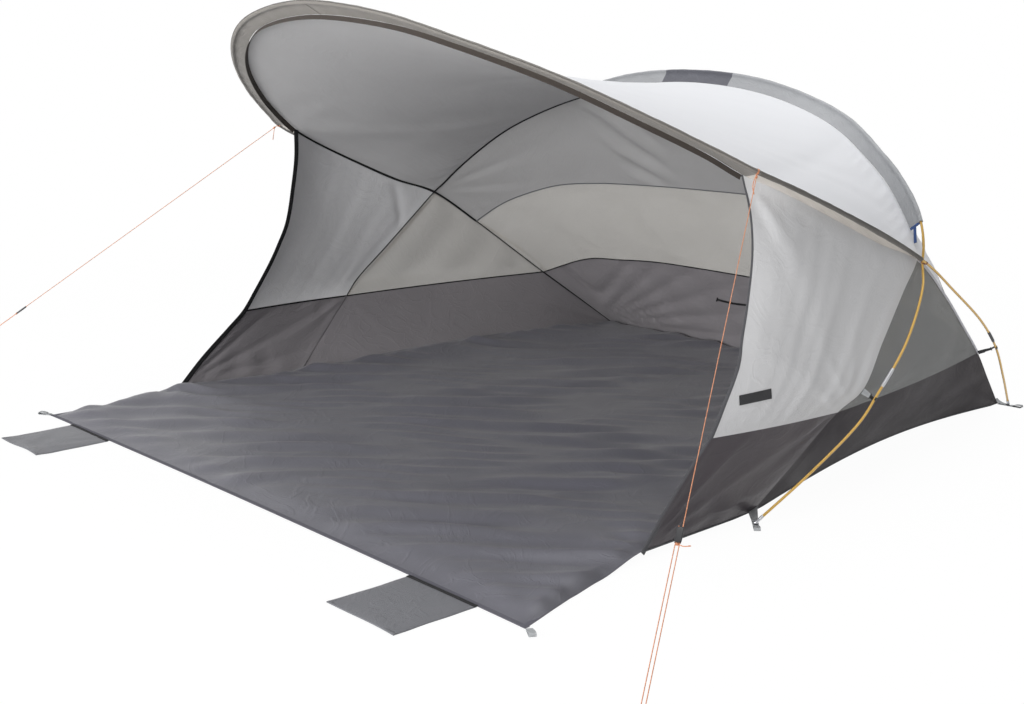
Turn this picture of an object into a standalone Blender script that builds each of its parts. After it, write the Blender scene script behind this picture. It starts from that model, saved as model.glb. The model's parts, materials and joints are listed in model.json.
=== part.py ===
"""Beach tent: two crossed bending poles, fabric panels, groundsheet, fold-up apron and guy lines.

Metres, +Z up. The open front faces -Y and the tent's right wall is at +X. The tent stands on
Z = 0 with the middle of its footprint at the origin; the guy lines reach out beyond it.
"""

import math

import bpy
import bmesh
import numpy as np
from mathutils import Matrix, Vector

# Driving sizes of the pitched tent
HALF_SPAN = 1.300  # middle line to a crossing of the poles
BODY_DEPTH = 1.760  # front ground corners to rear ground corners
VISOR_HEIGHT = 1.556  # ground to the top of the front hoop
BAND_HEIGHT = 0.290  # dark lower wall, measured up from the ground
FOOT_HALF_WIDTH = 1.300  # middle line to the foot of a wall's front edge
FOOT_FORWARD = 0.560  # feet of the walls, in front of the front ground corners
FOOT_LIFT = 0.022  # feet of the walls, pulled up off the ground by the guy lines
HEM_LIFT = 0.038  # highest lift of the long side hems between their pegs
HEM_DRAW = 0.030  # the same hems, drawn in towards the middle
HEM_LIFT_REACH = 0.300  # width of groundsheet that comes up with a lifted hem
ROOF_SAG = 0.070  # middle of the roof, below a straight line between the hoops

# Driving sizes of the apron, the sand pockets and the corner loops
APRON_LENGTH = 0.575
APRON_HALF_WIDTH = 1.363
APRON_SHIFT = 0.074  # the front edge is pegged a little to the right
POCKET_WIDTH = 0.290
POCKET_LENGTH = 0.276
POCKET_THICKNESS = 0.006
POCKET_FROM_CORNER = 0.188
POCKET_ROUNDING = 0.0015

# Driving sizes of the cloth, the webbing and the clearances
CLOTH = 0.0006
SEAM_INSET = 0.00045  # cloth edge to the middle of its seam
CLEARANCE = 0.0003
BINDING_RADIUS = 0.0025
WEBBING_THICKNESS = 0.0016
WEBBING_WIDTH = 0.020
STRAP_WIDTH = 0.012

# Driving sizes of the poles
POLE_RADIUS = 0.00425
POLE_BORE_RADIUS = 0.0023
FERRULE_RADIUS = 0.0056
FERRULE_HALF_LENGTH = 0.030
SHOCK_CORD_RADIUS = 0.0013
FRONT_SECTIONS = 10
REAR_SECTIONS = 7
SECTION_POINTS = 7
CROSSING_OFFSET = 0.0068  # each pole's middle line to the middle of the crossing
TIP_LENGTH = 0.030
TIP_RADIUS = 0.0053
FOOT_BALL_RADIUS = 0.0060
NOSE_RADIUS = 0.0020

# Driving sizes of the sleeves that hold the poles
SLEEVE_BORE_RADIUS = 0.0070
SLEEVE_WALL = 0.0008
SLEEVE_TAIL_THICKNESS = 0.0012
SLEEVE_SEAM_GAP = 0.0026
SLEEVE_END_SETBACK = 0.035  # end of the front sleeve before the crossing
REAR_SLEEVE_END_SETBACK = 0.145  # end of the rear sleeve before the crossing

# Driving sizes of the guy lines and their sliders
GUY_RADIUS = 0.00125
GUY_PEG_OUT = 2.058  # pegs from the middle line
GUY_PEG_FORWARD = 1.385  # pegs in front of the front ground corners
GUY_STRAND_SPACING = 0.010
GUY_SLIDER_SHARE = 0.700  # the slider's place along the line
SLIDER_LENGTH = 0.044
SLIDER_WIDTH = 0.018
SLIDER_THICKNESS = 0.0065
SLIDER_ROUNDING = 0.0015

# Driving sizes of the clips, the webbing anchors and the loops
CLIP_WIDTH = 0.012
CLIP_THICKNESS = 0.0016
CLIP_WRAP_DEGREES = 250.0
ANCHOR_TAIL = 0.052  # webbing loop beyond the pole's foot
LOOP_LENGTH = 0.055
LOOP_OUT = 0.0064  # corner loops, out from the apron's corners
LOOP_BACK = 0.012  # corner loops, behind the apron's corners
LOOP_OPENING = 0.0075  # clear height inside a folded webbing loop
EYELET_CLEARANCE = 0.0005
SLEEVE_STRAP_LENGTH = 0.070
STRAP_START_SHARE = 0.55  # start of the sleeve strap, from the pole towards the seam

# Number of cells along each stretch of a seam
VISOR_CELL_COUNT = 22  # front hoop, between the tops of the two wall edges
SHOULDER_CELL_COUNT = 6  # top of a wall edge to the crossing, and the band under it
CROSSING_TO_CLIP_CELL_COUNT = 5  # crossing to the pole clip on the wall
CLIP_TO_BAND_CELL_COUNT = 2
CROSSING_TO_ARCH_CELL_COUNT = 3  # crossing to the end of the rear arch seam
ARCH_TO_BAND_CELL_COUNT = 4
BAND_CELL_COUNT = 3  # up the dark band
SIDE_BAND_CELL_COUNT = 8  # along the side part of the dark band
ROOF_CELL_COUNT = 6  # front hoop to rear hoop
FLOOR_CELL_COUNT = 10
APRON_CELL_COUNT = 3
TIP_SHARE = 0.12  # a panel's point is cut back by this share of its last cell

# Front hoop from its top to its rear foot. Each row has a point on the pole and the point on the
# cloth seam that belongs to it, as shares of HALF_SPAN, BODY_DEPTH and VISOR_HEIGHT.
FRONT_HOOP_SHARES = (
    ((0.000, -0.4375, 1.000), (0.000, -0.411, 0.975)),
    ((0.276, -0.415, 0.976), (0.269, -0.389, 0.956)),
    ((0.452, -0.377, 0.936), (0.431, -0.353, 0.922)),
    ((0.675, -0.282, 0.863), (0.638, -0.266, 0.855)),
    ((0.828, -0.180, 0.787), (0.781, -0.169, 0.781)),
    ((0.940, -0.073, 0.713), (0.881, -0.071, 0.713)),
    ((0.975, -0.033, 0.686), (0.914, -0.019, 0.676)),
    ((1.002, 0.020, 0.659), (0.948, 0.037, 0.647)),
    ((1.008, 0.091, 0.628), (0.968, 0.099, 0.616)),
    ((1.009, 0.205, 0.578), (0.981, 0.196, 0.568)),
    ((1.006, 0.327, 0.522), (0.987, 0.318, 0.510)),
    ((1.0015, 0.456, 0.4537), (0.988, 0.446, 0.461)),
    ((0.996, 0.574, 0.375), (0.966, 0.577, 0.362)),
    ((0.978, 0.711, 0.280), (0.936, 0.699, 0.259)),
    ((0.954, 0.804, 0.202), (0.912, 0.788, 0.1833)),
    ((0.915, 0.897, 0.105), (0.869, 0.894, 0.0917)),
    ((0.860, 1.002, 0.005), (0.826, 1.000, 0.000)),
)
FRONT_ROW_WALL_TOP = 6
FRONT_ROW_CROSSING = 11
FRONT_ROW_ARCH = 12
FRONT_ROW_BAND = 14

# Rear hoop from its top to its front foot, in the same way.
REAR_HOOP_SHARES = (
    ((0.000, 0.631, 0.830), (0.000, 0.611, 0.803)),
    ((0.245, 0.630, 0.817), (0.238, 0.611, 0.789)),
    ((0.445, 0.622, 0.781), (0.427, 0.601, 0.757)),
    ((0.615, 0.594, 0.736), (0.588, 0.577, 0.713)),
    ((0.765, 0.545, 0.675), (0.731, 0.540, 0.654)),
    ((0.857, 0.522, 0.622), (0.829, 0.516, 0.598)),
    ((0.950, 0.487, 0.551), (0.921, 0.483, 0.528)),
    ((0.988, 0.465, 0.495), (0.963, 0.463, 0.487)),
    ((1.0015, 0.456, 0.4537), (0.988, 0.446, 0.461)),
    ((1.027, 0.426, 0.405), (1.003, 0.390, 0.401)),
    ((1.062, 0.340, 0.302), (1.027, 0.304, 0.308)),
    ((1.073, 0.244, 0.212), (1.049, 0.223, 0.222)),
    ((1.072, 0.196, 0.165), (1.025, 0.176, 0.1815)),
    ((1.057, 0.073, 0.085), (0.993, 0.083, 0.0870)),
    ((1.027, -0.050, 0.005), (0.962, 0.000, 0.000)),
)
REAR_ROW_CROSSING = 8
REAR_ROW_CLIP = 11
REAR_ROW_BAND = 12

# Front edge of a wall below its top, down to the dark band, as shares of the same three sizes.
WALL_EDGE_SHARES = (
    (0.934, -0.011, 0.600),
    (0.948, -0.015, 0.524),
    (0.956, -0.032, 0.422),
    (0.966, -0.052, 0.365),
    (0.978, -0.070, 0.318),
    (0.984, -0.113, 0.244),
)
WALL_EDGE_BAND_SHARES = (0.987, -0.148, 1.020)  # its height is a share of BAND_HEIGHT
WALL_EDGE_LOW_SHARES = ((0.989, -0.185, 0.825), (0.996, -0.262, 0.420))

# Seams across the back, from a side to the middle: shares of HALF_SPAN, BODY_DEPTH, VISOR_HEIGHT
ARCH_SHARES = (
    (0.893, 0.618, 0.4145),
    (0.831, 0.648, 0.443),
    (0.715, 0.702, 0.4775),
    (0.585, 0.753, 0.4884),
    (0.462, 0.790, 0.490),
    (0.308, 0.827, 0.489),
    (0.000, 0.852, 0.489),
)
# The dark band's top edge across the back: shares of HALF_SPAN, BODY_DEPTH and BAND_HEIGHT
BACK_BAND_SHARES = (
    (0.738, 0.835, 1.270),
    (0.615, 0.866, 1.300),
    (0.477, 0.895, 1.320),
    (0.269, 0.920, 1.300),
    (0.000, 0.932, 1.280),
)
BAND_BOW_SHARE = 0.020  # outward bow of the band's top edge along a wall, of its length

COLOURS = {
    # name: (red, green, blue), roughness, metallic
    "roof_cloth": ((0.78, 0.79, 0.81), 0.75, 0.0),
    "wall_cloth": ((0.60, 0.60, 0.61), 0.75, 0.0),
    "mesh_cloth": ((0.36, 0.35, 0.33), 0.85, 0.0),
    "band_cloth": ((0.075, 0.070, 0.075), 0.65, 0.0),
    "floor_sheet": ((0.085, 0.085, 0.100), 0.55, 0.0),
    "apron_sheet": ((0.130, 0.130, 0.150), 0.55, 0.0),
    "pocket_cloth": ((0.150, 0.155, 0.170), 0.65, 0.0),
    "front_sleeve": ((0.40, 0.37, 0.33), 0.80, 0.0),
    "rear_sleeve": ((0.42, 0.43, 0.45), 0.80, 0.0),
    "binding": ((0.020, 0.020, 0.022), 0.70, 0.0),
    "pole": ((0.62, 0.42, 0.09), 0.35, 0.0),
    "shock_cord": ((0.030, 0.030, 0.030), 0.80, 0.0),
    "tip_metal": ((0.62, 0.62, 0.64), 0.35, 0.9),
    "webbing": ((0.30, 0.31, 0.32), 0.80, 0.0),
    "clip_plastic": ((0.025, 0.025, 0.028), 0.45, 0.0),
    "sleeve_strap": ((0.070, 0.120, 0.300), 0.70, 0.0),
    "guy_cord": ((0.75, 0.26, 0.07), 0.70, 0.0),
    "slider_plastic": ((0.10, 0.05, 0.04), 0.45, 0.0),
}


def clear_scene():
    for obj in list(bpy.data.objects):
        bpy.data.objects.remove(obj, do_unlink=True)


def material(name):
    found = bpy.data.materials.get(name)
    if found:
        return found
    colour, roughness, metallic = COLOURS[name]
    found = bpy.data.materials.new(name)
    found.use_nodes = True
    shader = found.node_tree.nodes["Principled BSDF"]
    shader.inputs["Base Color"].default_value = (*colour, 1.0)
    shader.inputs["Roughness"].default_value = roughness
    shader.inputs["Metallic"].default_value = metallic
    found.diffuse_color = (*colour, 1.0)
    return found


def add_mesh(name, points, faces, finish, smooth=True, origin=(0, 0, 0)):
    """One object from points and faces, with its own origin and its faces turned outwards."""
    origin = Vector(origin)
    mesh = bpy.data.meshes.new(name)
    mesh.from_pydata([tuple(Vector(p) - origin) for p in points], [], faces)
    shape = bmesh.new()
    shape.from_mesh(mesh)
    bmesh.ops.recalc_face_normals(shape, faces=shape.faces)
    shape.to_mesh(mesh)
    shape.free()
    obj = bpy.data.objects.new(name, mesh)
    obj.location = origin
    bpy.context.scene.collection.objects.link(obj)
    mesh.materials.append(material(finish))
    if smooth:
        mesh.shade_smooth()
        mesh.set_sharp_from_angle(angle=math.radians(40))
    return obj


def combine(obj, other, operation):
    """Joins another object to this one, or cuts it away, and removes the other object."""
    change = obj.modifiers.new(operation.lower(), "BOOLEAN")
    change.operation = operation
    change.solver = "EXACT"
    change.object = other
    bpy.context.view_layer.update()
    graph = bpy.context.evaluated_depsgraph_get()
    result = bpy.data.meshes.new_from_object(obj.evaluated_get(graph))
    obj.modifiers.clear()
    obj.data = result
    bpy.data.objects.remove(other, do_unlink=True)
    return obj


def unit(vector):
    return vector / np.linalg.norm(vector)


def blend(a, b, share):
    return a + (b - a) * share


def mirrored(point):
    """The same point on the other side of the tent; rows of two points keep both."""
    return point * np.array([-1.0, 1.0, 1.0] * (len(point) // 3))


def scaled(shares, height=VISOR_HEIGHT):
    return np.array(shares) * np.array([HALF_SPAN, BODY_DEPTH, height])


class Curve:
    """A smooth curve through points of three or six numbers, measured along its first three."""

    STEPS = 24

    def __init__(self, points):
        points = [np.asarray(p, float) for p in points]
        ends = [2 * points[0] - points[1], *points, 2 * points[-1] - points[-2]]
        dense = []
        for before, start, end, after in zip(ends, ends[1:], ends[2:], ends[3:]):
            dense.extend(self.span(before, start, end, after))
        dense.append(points[-1])
        self.dense = np.array(dense)
        steps = np.linalg.norm(np.diff(self.dense[:, :3], axis=0), axis=1)
        self.along = np.concatenate([[0.0], np.cumsum(steps)])
        self.length = self.along[-1]
        self.row_along = self.along[:: self.STEPS]

    def span(self, before, start, end, after):
        """Centripetal spline between two points, which keeps close curves from overshooting."""
        knots = [0.0]
        for a, b in ((before, start), (start, end), (end, after)):
            knots.append(knots[-1] + math.sqrt(np.linalg.norm(b - a)))
        k0, k1, k2, k3 = knots
        for step in range(self.STEPS):
            k = k1 + (k2 - k1) * step / self.STEPS
            a1 = before * (k1 - k) / (k1 - k0) + start * (k - k0) / (k1 - k0)
            a2 = start * (k2 - k) / (k2 - k1) + end * (k - k1) / (k2 - k1)
            a3 = end * (k3 - k) / (k3 - k2) + after * (k - k2) / (k3 - k2)
            b1 = a1 * (k2 - k) / (k2 - k0) + a2 * (k - k0) / (k2 - k0)
            b2 = a2 * (k3 - k) / (k3 - k1) + a3 * (k - k1) / (k3 - k1)
            yield b1 * (k2 - k) / (k2 - k1) + b2 * (k - k1) / (k2 - k1)

    def at(self, along):
        return np.array([np.interp(along, self.along, axis) for axis in self.dense.T])

    def between(self, start, end, cells):
        return [self.at(blend(start, end, i / cells)) for i in range(cells + 1)]

    def even(self, cells):
        return self.between(0.0, self.length, cells)


class Hoop:
    """A bent pole and the cloth seam that belongs to it."""

    def __init__(self, table, crossing_row, crossing_offset, sections):
        half = [np.concatenate([scaled(pole), scaled(seam)]) for pole, seam in table]
        half[-1][2] = WEBBING_THICKNESS + CLEARANCE + FOOT_BALL_RADIUS
        half[crossing_row][0] += crossing_offset
        self.curve = Curve([mirrored(row) for row in half[:0:-1]] + half)
        self.middle_row = len(half) - 1
        self.sections = sections
        # Pole points: the joints between sections lie halfway along straight pieces, and a point
        # lies at each crossing, where the two poles pass side by side.
        self.start = TIP_LENGTH
        self.tube_length = self.curve.length - 2 * TIP_LENGTH
        total = sections * SECTION_POINTS
        shares = [0.0, *((i + 0.5) / total for i in range(total)), 1.0]
        alongs = [self.start + self.tube_length * share for share in shares]
        alongs += [self.row_along(crossing_row, side) for side in (-1, 1)]
        self.alongs = sorted(alongs)
        rows = [self.curve.at(along) for along in self.alongs]
        self.points = np.array([row[:3] for row in rows])
        away = np.array([row[:3] - row[3:] for row in rows])
        self.sides = []
        for tangent, outward in zip(np.gradient(self.points, axis=0), away):
            tangent = unit(tangent)
            self.sides.append(unit(outward - tangent * (outward @ tangent)))
        steps = np.linalg.norm(np.diff(self.points, axis=0), axis=1)
        self.places = np.concatenate([[0.0], np.cumsum(steps)])

    def joint(self, number):
        """Distance along the pole of the joint after a number of sections."""
        return self.place_of(self.start + self.tube_length * number / self.sections)

    def row_along(self, row, side=1):
        """Distance along the hoop's curve of a row of its table, on the right or left side."""
        return self.curve.row_along[self.middle_row + side * row]

    def frame(self, place):
        """Point, tangent and outward side of the pole's middle line at a distance along it."""
        index = int(np.searchsorted(self.places, place + 1e-9, side="right")) - 1
        index = min(max(index, 0), len(self.points) - 2)
        share = (place - self.places[index]) / (self.places[index + 1] - self.places[index])
        point = blend(self.points[index], self.points[index + 1], share)
        edge = unit(self.points[index + 1] - self.points[index])
        if abs(share) < 1e-6 and index > 0:
            edge = unit(edge + unit(self.points[index] - self.points[index - 1]))
        side = blend(self.sides[index], self.sides[index + 1], share)
        return point, edge, unit(side - edge * (side @ edge))

    def place_of(self, curve_along):
        """Distance along the pole's straight pieces that matches a distance along the curve."""
        return float(np.interp(curve_along, self.alongs, self.places))

    def seam_at(self, place):
        """Point of the cloth seam beside a distance along the pole's straight pieces."""
        return self.curve.at(np.interp(place, self.places, self.alongs))[3:]

    def foot(self, side):
        return self.curve.at(0.0 if side < 0 else self.curve.length)[:3]


def ring(frame, radius, sides):
    point, tangent, side = frame
    other = np.cross(tangent, side)
    turns = [2 * math.pi * i / sides for i in range(sides)]
    return [point + radius * (math.cos(a) * side + math.sin(a) * other) for a in turns]


def add_rings(name, rings, finish, closed_end, smooth=True):
    """A solid from rings of equal count: capped at both ends, or joined into a tube wall."""
    count = len(rings[0])
    points = [p for one in rings for p in one]
    faces = []
    pairs = len(rings) if closed_end == "joined" else len(rings) - 1
    for r in range(pairs):
        a, b = r * count, (r + 1) % len(rings) * count
        for i in range(count):
            j = (i + 1) % count
            faces.append((a + i, a + j, b + j, b + i))
    if closed_end == "capped":
        faces.append(tuple(range(count)))
        faces.append(tuple(range(len(points) - count, len(points))))
    return add_mesh(name, points, faces, finish, smooth)


# Poles

POLE_SIDES = 6
CORD_SIDES = 4


def add_pole_sections(hoop, prefix):
    """Hollow sections; each has a ferrule on its far end that takes the next section."""
    for index in range(hoop.sections):
        start = hoop.joint(index) + CLEARANCE * (index > 0)
        joint = hoop.joint(index + 1)
        inside = [p for p in hoop.places if start + CLEARANCE < p < joint - CLEARANCE]
        last = index == hoop.sections - 1
        outer = [(start, POLE_RADIUS), *((p, POLE_RADIUS) for p in inside)]
        inner = [(p, POLE_BORE_RADIUS) for p, _ in outer]
        if last:
            outer.append((joint, POLE_RADIUS))
            inner.append((joint, POLE_BORE_RADIUS))
        else:
            neck, mouth = joint - FERRULE_HALF_LENGTH, joint + FERRULE_HALF_LENGTH
            socket = POLE_RADIUS + CLEARANCE
            outer += [(neck, POLE_RADIUS), (neck, FERRULE_RADIUS), (mouth, FERRULE_RADIUS)]
            inner += [(joint, POLE_BORE_RADIUS), (joint, socket), (mouth, socket)]
        path = outer + inner[::-1]
        rings = [ring(hoop.frame(place), radius, POLE_SIDES) for place, radius in path]
        add_rings(f"{prefix}_pole_{index + 1}", rings, "pole", "joined")


def add_shock_cord(hoop, name):
    places = [hoop.places[0] + CLEARANCE, *hoop.places[1:-1], hoop.places[-1] - CLEARANCE]
    rings = [ring(hoop.frame(place), SHOCK_CORD_RADIUS, CORD_SIDES) for place in places]
    add_rings(name, rings, "shock_cord", "capped")


def add_cylinder(name, start, end, radius, finish, sides=12):
    start, end = np.asarray(start, float), np.asarray(end, float)
    tangent = unit(end - start)
    reference = np.array([0.0, 0.0, 1.0]) if abs(tangent[2]) < 0.9 else np.array([1.0, 0.0, 0.0])
    side = unit(np.cross(tangent, reference))
    rings = [ring((p, tangent, side), radius, sides) for p in (start, end)]
    return add_rings(name, rings, finish, "capped")


def add_ball(name, centre, radius, finish):
    shape = bmesh.new()
    bmesh.ops.create_uvsphere(shape, u_segments=12, v_segments=8, radius=radius)
    bmesh.ops.translate(shape, verts=shape.verts, vec=Vector(centre))
    mesh = bpy.data.meshes.new(name)
    shape.to_mesh(mesh)
    shape.free()
    mesh.materials.append(material(finish))
    mesh.shade_smooth()
    obj = bpy.data.objects.new(name, mesh)
    bpy.context.scene.collection.objects.link(obj)
    return obj


def add_pole_tip(hoop, name, side):
    """Metal end cap with a ball foot on the webbing and a nose through its eyelet."""
    ball = hoop.foot(side)
    pole_end = hoop.points[0 if side < 0 else -1]
    cap_start = pole_end + unit(ball - pole_end) * CLEARANCE
    tip = add_cylinder(name, cap_start, ball, TIP_RADIUS, "tip_metal")
    combine(tip, add_ball("ball", ball, FOOT_BALL_RADIUS, "tip_metal"), "UNION")
    nose_end = np.array([ball[0], ball[1], CLEARANCE])
    nose = add_cylinder("nose", ball, nose_end, NOSE_RADIUS, "tip_metal", sides=8)
    return combine(tip, nose, "UNION")


# Sleeves

SLEEVE_ARC_DEGREES = 150.0
SLEEVE_ARC_POINTS = 6
SLEEVE_MOUTH_DEGREES = 6.0


def sleeve_section(frame, seam):
    """Outline of the cloth channel with its tail to the seam, and of the bore for the pole."""
    point, tangent, _ = frame
    tail = seam - point
    tail = tail - tangent * (tail @ tangent)
    reach = np.linalg.norm(tail)
    tail = unit(tail)
    across = np.cross(tangent, -tail)
    half = SLEEVE_TAIL_THICKNESS / 2
    tip = point + tail * (reach - SLEEVE_SEAM_GAP)
    outer_radius = SLEEVE_BORE_RADIUS + SLEEVE_WALL

    def spoke(degrees):
        turn = math.radians(degrees)
        return -tail * math.cos(turn) + across * math.sin(turn)

    last = SLEEVE_ARC_POINTS - 1
    turns = [SLEEVE_ARC_DEGREES * (1 - 2 * i / last) for i in range(SLEEVE_ARC_POINTS)]
    mouth = 180.0 - SLEEVE_MOUTH_DEGREES
    outer = [tip + across * half, *(point + outer_radius * spoke(turn) for turn in turns)]
    outer.append(tip - across * half)
    inner = [point + SLEEVE_BORE_RADIUS * spoke(turn) for turn in (mouth, *turns, -mouth)]
    return outer, inner


def add_sleeve(hoop, name, crossing_row, setback, finish):
    start = hoop.place_of(hoop.row_along(crossing_row, -1) + setback)
    end = hoop.place_of(hoop.row_along(crossing_row, 1) - setback)
    margin = SLEEVE_BORE_RADIUS
    places = [start, *(p for p in hoop.places if start + margin < p < end - margin), end]
    outer, inner = [], []
    for place in places:
        section = sleeve_section(hoop.frame(place), hoop.seam_at(place))
        outer.append(section[0])
        inner.append(section[1])
    return add_rings(name, outer + inner[::-1], finish, "joined")


# Cloth panels


def patch(low, high, left, right):
    """Grid of points between four edges: low and high run alike, so do left and right."""
    rows, columns = len(left), len(low)
    grid = []
    for r in range(rows):
        v = r / (rows - 1)
        line = []
        for c in range(columns):
            u = c / (columns - 1)
            across = blend(low[c], high[c], v) + blend(left[r], right[r], u)
            corners = blend(blend(low[0], low[-1], u), blend(high[0], high[-1], u), v)
            line.append(across - corners)
        grid.append(line)
    return np.array(grid)


def drawn_in(edge, inner, amount):
    """Moves the points of an edge towards the next line, until it lies this far from its seam."""
    moved = []
    for point, tangent, towards in zip(edge, np.gradient(edge, axis=0), inner - edge):
        tangent = unit(tangent)
        apart = np.linalg.norm(towards - tangent * (towards @ tangent))
        moved.append(point + towards * amount / apart)
    return np.array(moved)


def inset_grid(grid, insets):
    """Draws each edge in from its seam: insets for the low, high, left and right edges."""
    low, high, left, right = insets
    grid = grid.copy()
    grid[0] = drawn_in(grid[0], grid[1], low)
    grid[-1] = drawn_in(grid[-1], grid[-2], high)
    grid[:, 0] = drawn_in(grid[:, 0], grid[:, 1], left)
    grid[:, -1] = drawn_in(grid[:, -1], grid[:, -2], right)
    return grid


def add_cloth(name, grid, finish, insets=(SEAM_INSET,) * 4, lift=0.0):
    """A thin closed sheet over a grid of points, drawn in from its seams."""
    drawn = inset_grid(grid, insets)
    rows, columns = drawn.shape[:2]
    points = [tuple(p + np.array([0.0, 0.0, lift])) for line in drawn for p in line]
    faces = []
    for r in range(rows - 1):
        for c in range(columns - 1):
            a = r * columns + c
            faces.append((a, a + 1, a + columns + 1, a + columns))
    obj = add_mesh(name, points, faces, finish)
    thick = obj.modifiers.new("thickness", "SOLIDIFY")
    thick.thickness = CLOTH
    thick.offset = 0.0
    return obj


def side_name(base, side):
    return f"{base}_{'right' if side > 0 else 'left'}"


def on_side(points, side):
    return [p if side > 0 else mirrored(p) for p in points]


class Seams:
    """Every seam of the tent's right side as a list of points, and the seams across it."""

    def __init__(self, front, rear):
        middle = front.row_along(0)
        wall_top = front.row_along(FRONT_ROW_WALL_TOP)
        crossing = front.row_along(FRONT_ROW_CROSSING)
        arch_end = front.row_along(FRONT_ROW_ARCH)
        band = front.row_along(FRONT_ROW_BAND)
        self.visor = self.part(front, middle, wall_top, VISOR_CELL_COUNT // 2)
        self.shoulder = self.part(front, wall_top, crossing, SHOULDER_CELL_COUNT)
        self.leg_high = self.part(front, crossing, arch_end, CROSSING_TO_ARCH_CELL_COUNT)
        self.leg_low = self.part(front, arch_end, band, ARCH_TO_BAND_CELL_COUNT)
        self.leg_band = self.part(front, band, front.curve.length, BAND_CELL_COUNT)

        middle = rear.row_along(0)
        crossing = rear.row_along(REAR_ROW_CROSSING)
        clip = rear.row_along(REAR_ROW_CLIP)
        band = rear.row_along(REAR_ROW_BAND)
        half_cells = VISOR_CELL_COUNT // 2 + SHOULDER_CELL_COUNT
        self.ridge = self.part(rear, middle, crossing, half_cells)
        self.side_high = self.part(rear, crossing, clip, CROSSING_TO_CLIP_CELL_COUNT)
        self.side_clip = self.part(rear, clip, band, CLIP_TO_BAND_CELL_COUNT)
        self.side_band = self.part(rear, band, rear.curve.length, BAND_CELL_COUNT)

        foot = np.array([FOOT_HALF_WIDTH, -FOOT_FORWARD, FOOT_LIFT])
        band_front = scaled(WALL_EDGE_BAND_SHARES, BAND_HEIGHT)
        low_points = [scaled(s, BAND_HEIGHT) for s in WALL_EDGE_LOW_SHARES]
        high_points = [scaled(s) for s in WALL_EDGE_SHARES]
        edge = Curve([self.shoulder[0], *high_points, band_front, *low_points, foot])
        split = edge.row_along[len(high_points) + 1]
        cells = CROSSING_TO_CLIP_CELL_COUNT + CLIP_TO_BAND_CELL_COUNT
        self.wall_edge_high = edge.between(0.0, split, cells)
        self.wall_edge_low = edge.between(split, edge.length, BAND_CELL_COUNT)

        kink, rear_top = self.side_clip[-1], self.leg_low[-1]
        front_corner, rear_corner = self.side_band[-1], self.leg_band[-1]
        self.band_top_front = self.bowed(band_front, kink, SHOULDER_CELL_COUNT)
        self.band_top_side = self.bowed(kink, rear_top, SIDE_BAND_CELL_COUNT)
        self.hem_front = self.hem(foot, front_corner, SHOULDER_CELL_COUNT, 0.0, 0.0)
        cells = SIDE_BAND_CELL_COUNT
        self.hem_side = self.hem(front_corner, rear_corner, cells, HEM_LIFT, HEM_DRAW)
        cells = 2 * half_cells
        self.arch = self.across([self.leg_high[-1], *(scaled(s) for s in ARCH_SHARES)], cells)
        top = [scaled(s, BAND_HEIGHT) for s in BACK_BAND_SHARES]
        self.band_top_back = self.across([rear_top, *top], cells)
        left = mirrored(rear_corner)
        self.hem_back = [blend(left, rear_corner, i / cells) for i in range(cells + 1)]

    @staticmethod
    def part(hoop, start, end, cells):
        return [row[3:] for row in hoop.curve.between(start, end, cells)]

    @staticmethod
    def bowed(start, end, cells):
        """A line between two points that bows outwards, away from the middle of the tent."""
        bow = BAND_BOW_SHARE * np.linalg.norm(end - start) * np.array([1.0, 0.0, 0.0])
        shares = [i / cells for i in range(cells + 1)]
        return [blend(start, end, s) + bow * math.sin(math.pi * s) for s in shares]

    @staticmethod
    def hem(start, end, cells, lift, draw):
        """A hem between two pegged corners, lifted and drawn in along its middle."""
        shares = [i / cells for i in range(cells + 1)]
        pull = np.array([-draw, 0.0, lift])
        return [blend(start, end, s) + pull * math.sin(math.pi * s) for s in shares]

    @staticmethod
    def across(half, cells):
        """A seam across the tent from its right half, as points from left to right."""
        return Curve([mirrored(p) for p in half[:-1]] + half[::-1]).even(cells)


def both_halves(half):
    """Points from left to right, from points that run from the middle to the right."""
    return [mirrored(p) for p in half[:0:-1]] + half


def add_roof(seams):
    front_edge = both_halves(seams.visor + seams.shoulder[1:])
    rear_edge = both_halves(seams.ridge)
    grid = []
    for r in range(ROOF_CELL_COUNT + 1):
        v = r / ROOF_CELL_COUNT
        line = []
        for c, (a, b) in enumerate(zip(front_edge, rear_edge)):
            u = c / (len(front_edge) - 1)
            sag = ROOF_SAG * math.sin(math.pi * u) * math.sin(math.pi * v)
            line.append(blend(a, b, v) - np.array([0.0, 0.0, sag]))
        grid.append(line)
    grid = np.array(grid)
    grid[:, 0] = blend(grid[:, 0], grid[:, 1], TIP_SHARE)
    grid[:, -1] = blend(grid[:, -1], grid[:, -2], TIP_SHARE)
    return add_cloth("roof", grid, "roof_cloth")


def add_band(name, top, hem, left, right, insets=(SEAM_INSET,) * 4):
    """A part of the dark band, which stands just above the groundsheet's edge."""
    grid = patch(top, hem, left, right)
    up_the_band = grid[-2] - grid[-1]
    grid[-1] += up_the_band * (2 * CLOTH + CLEARANCE) / up_the_band[:, 2:]
    return add_cloth(name, grid, "band_cloth", insets)


def add_back(seams):
    sides = [on_side(seams.leg_high, -1), seams.leg_high]
    grid = patch(both_halves(seams.ridge), seams.arch, *sides)
    add_cloth("rear_upper", grid, "roof_cloth")
    sides = [on_side(seams.leg_low, -1), seams.leg_low]
    add_cloth("rear_mesh", patch(seams.arch, seams.band_top_back, *sides), "mesh_cloth")
    sides = [on_side(seams.leg_band, -1), seams.leg_band]
    add_band("band_back", seams.band_top_back, seams.hem_back, *sides)


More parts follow.
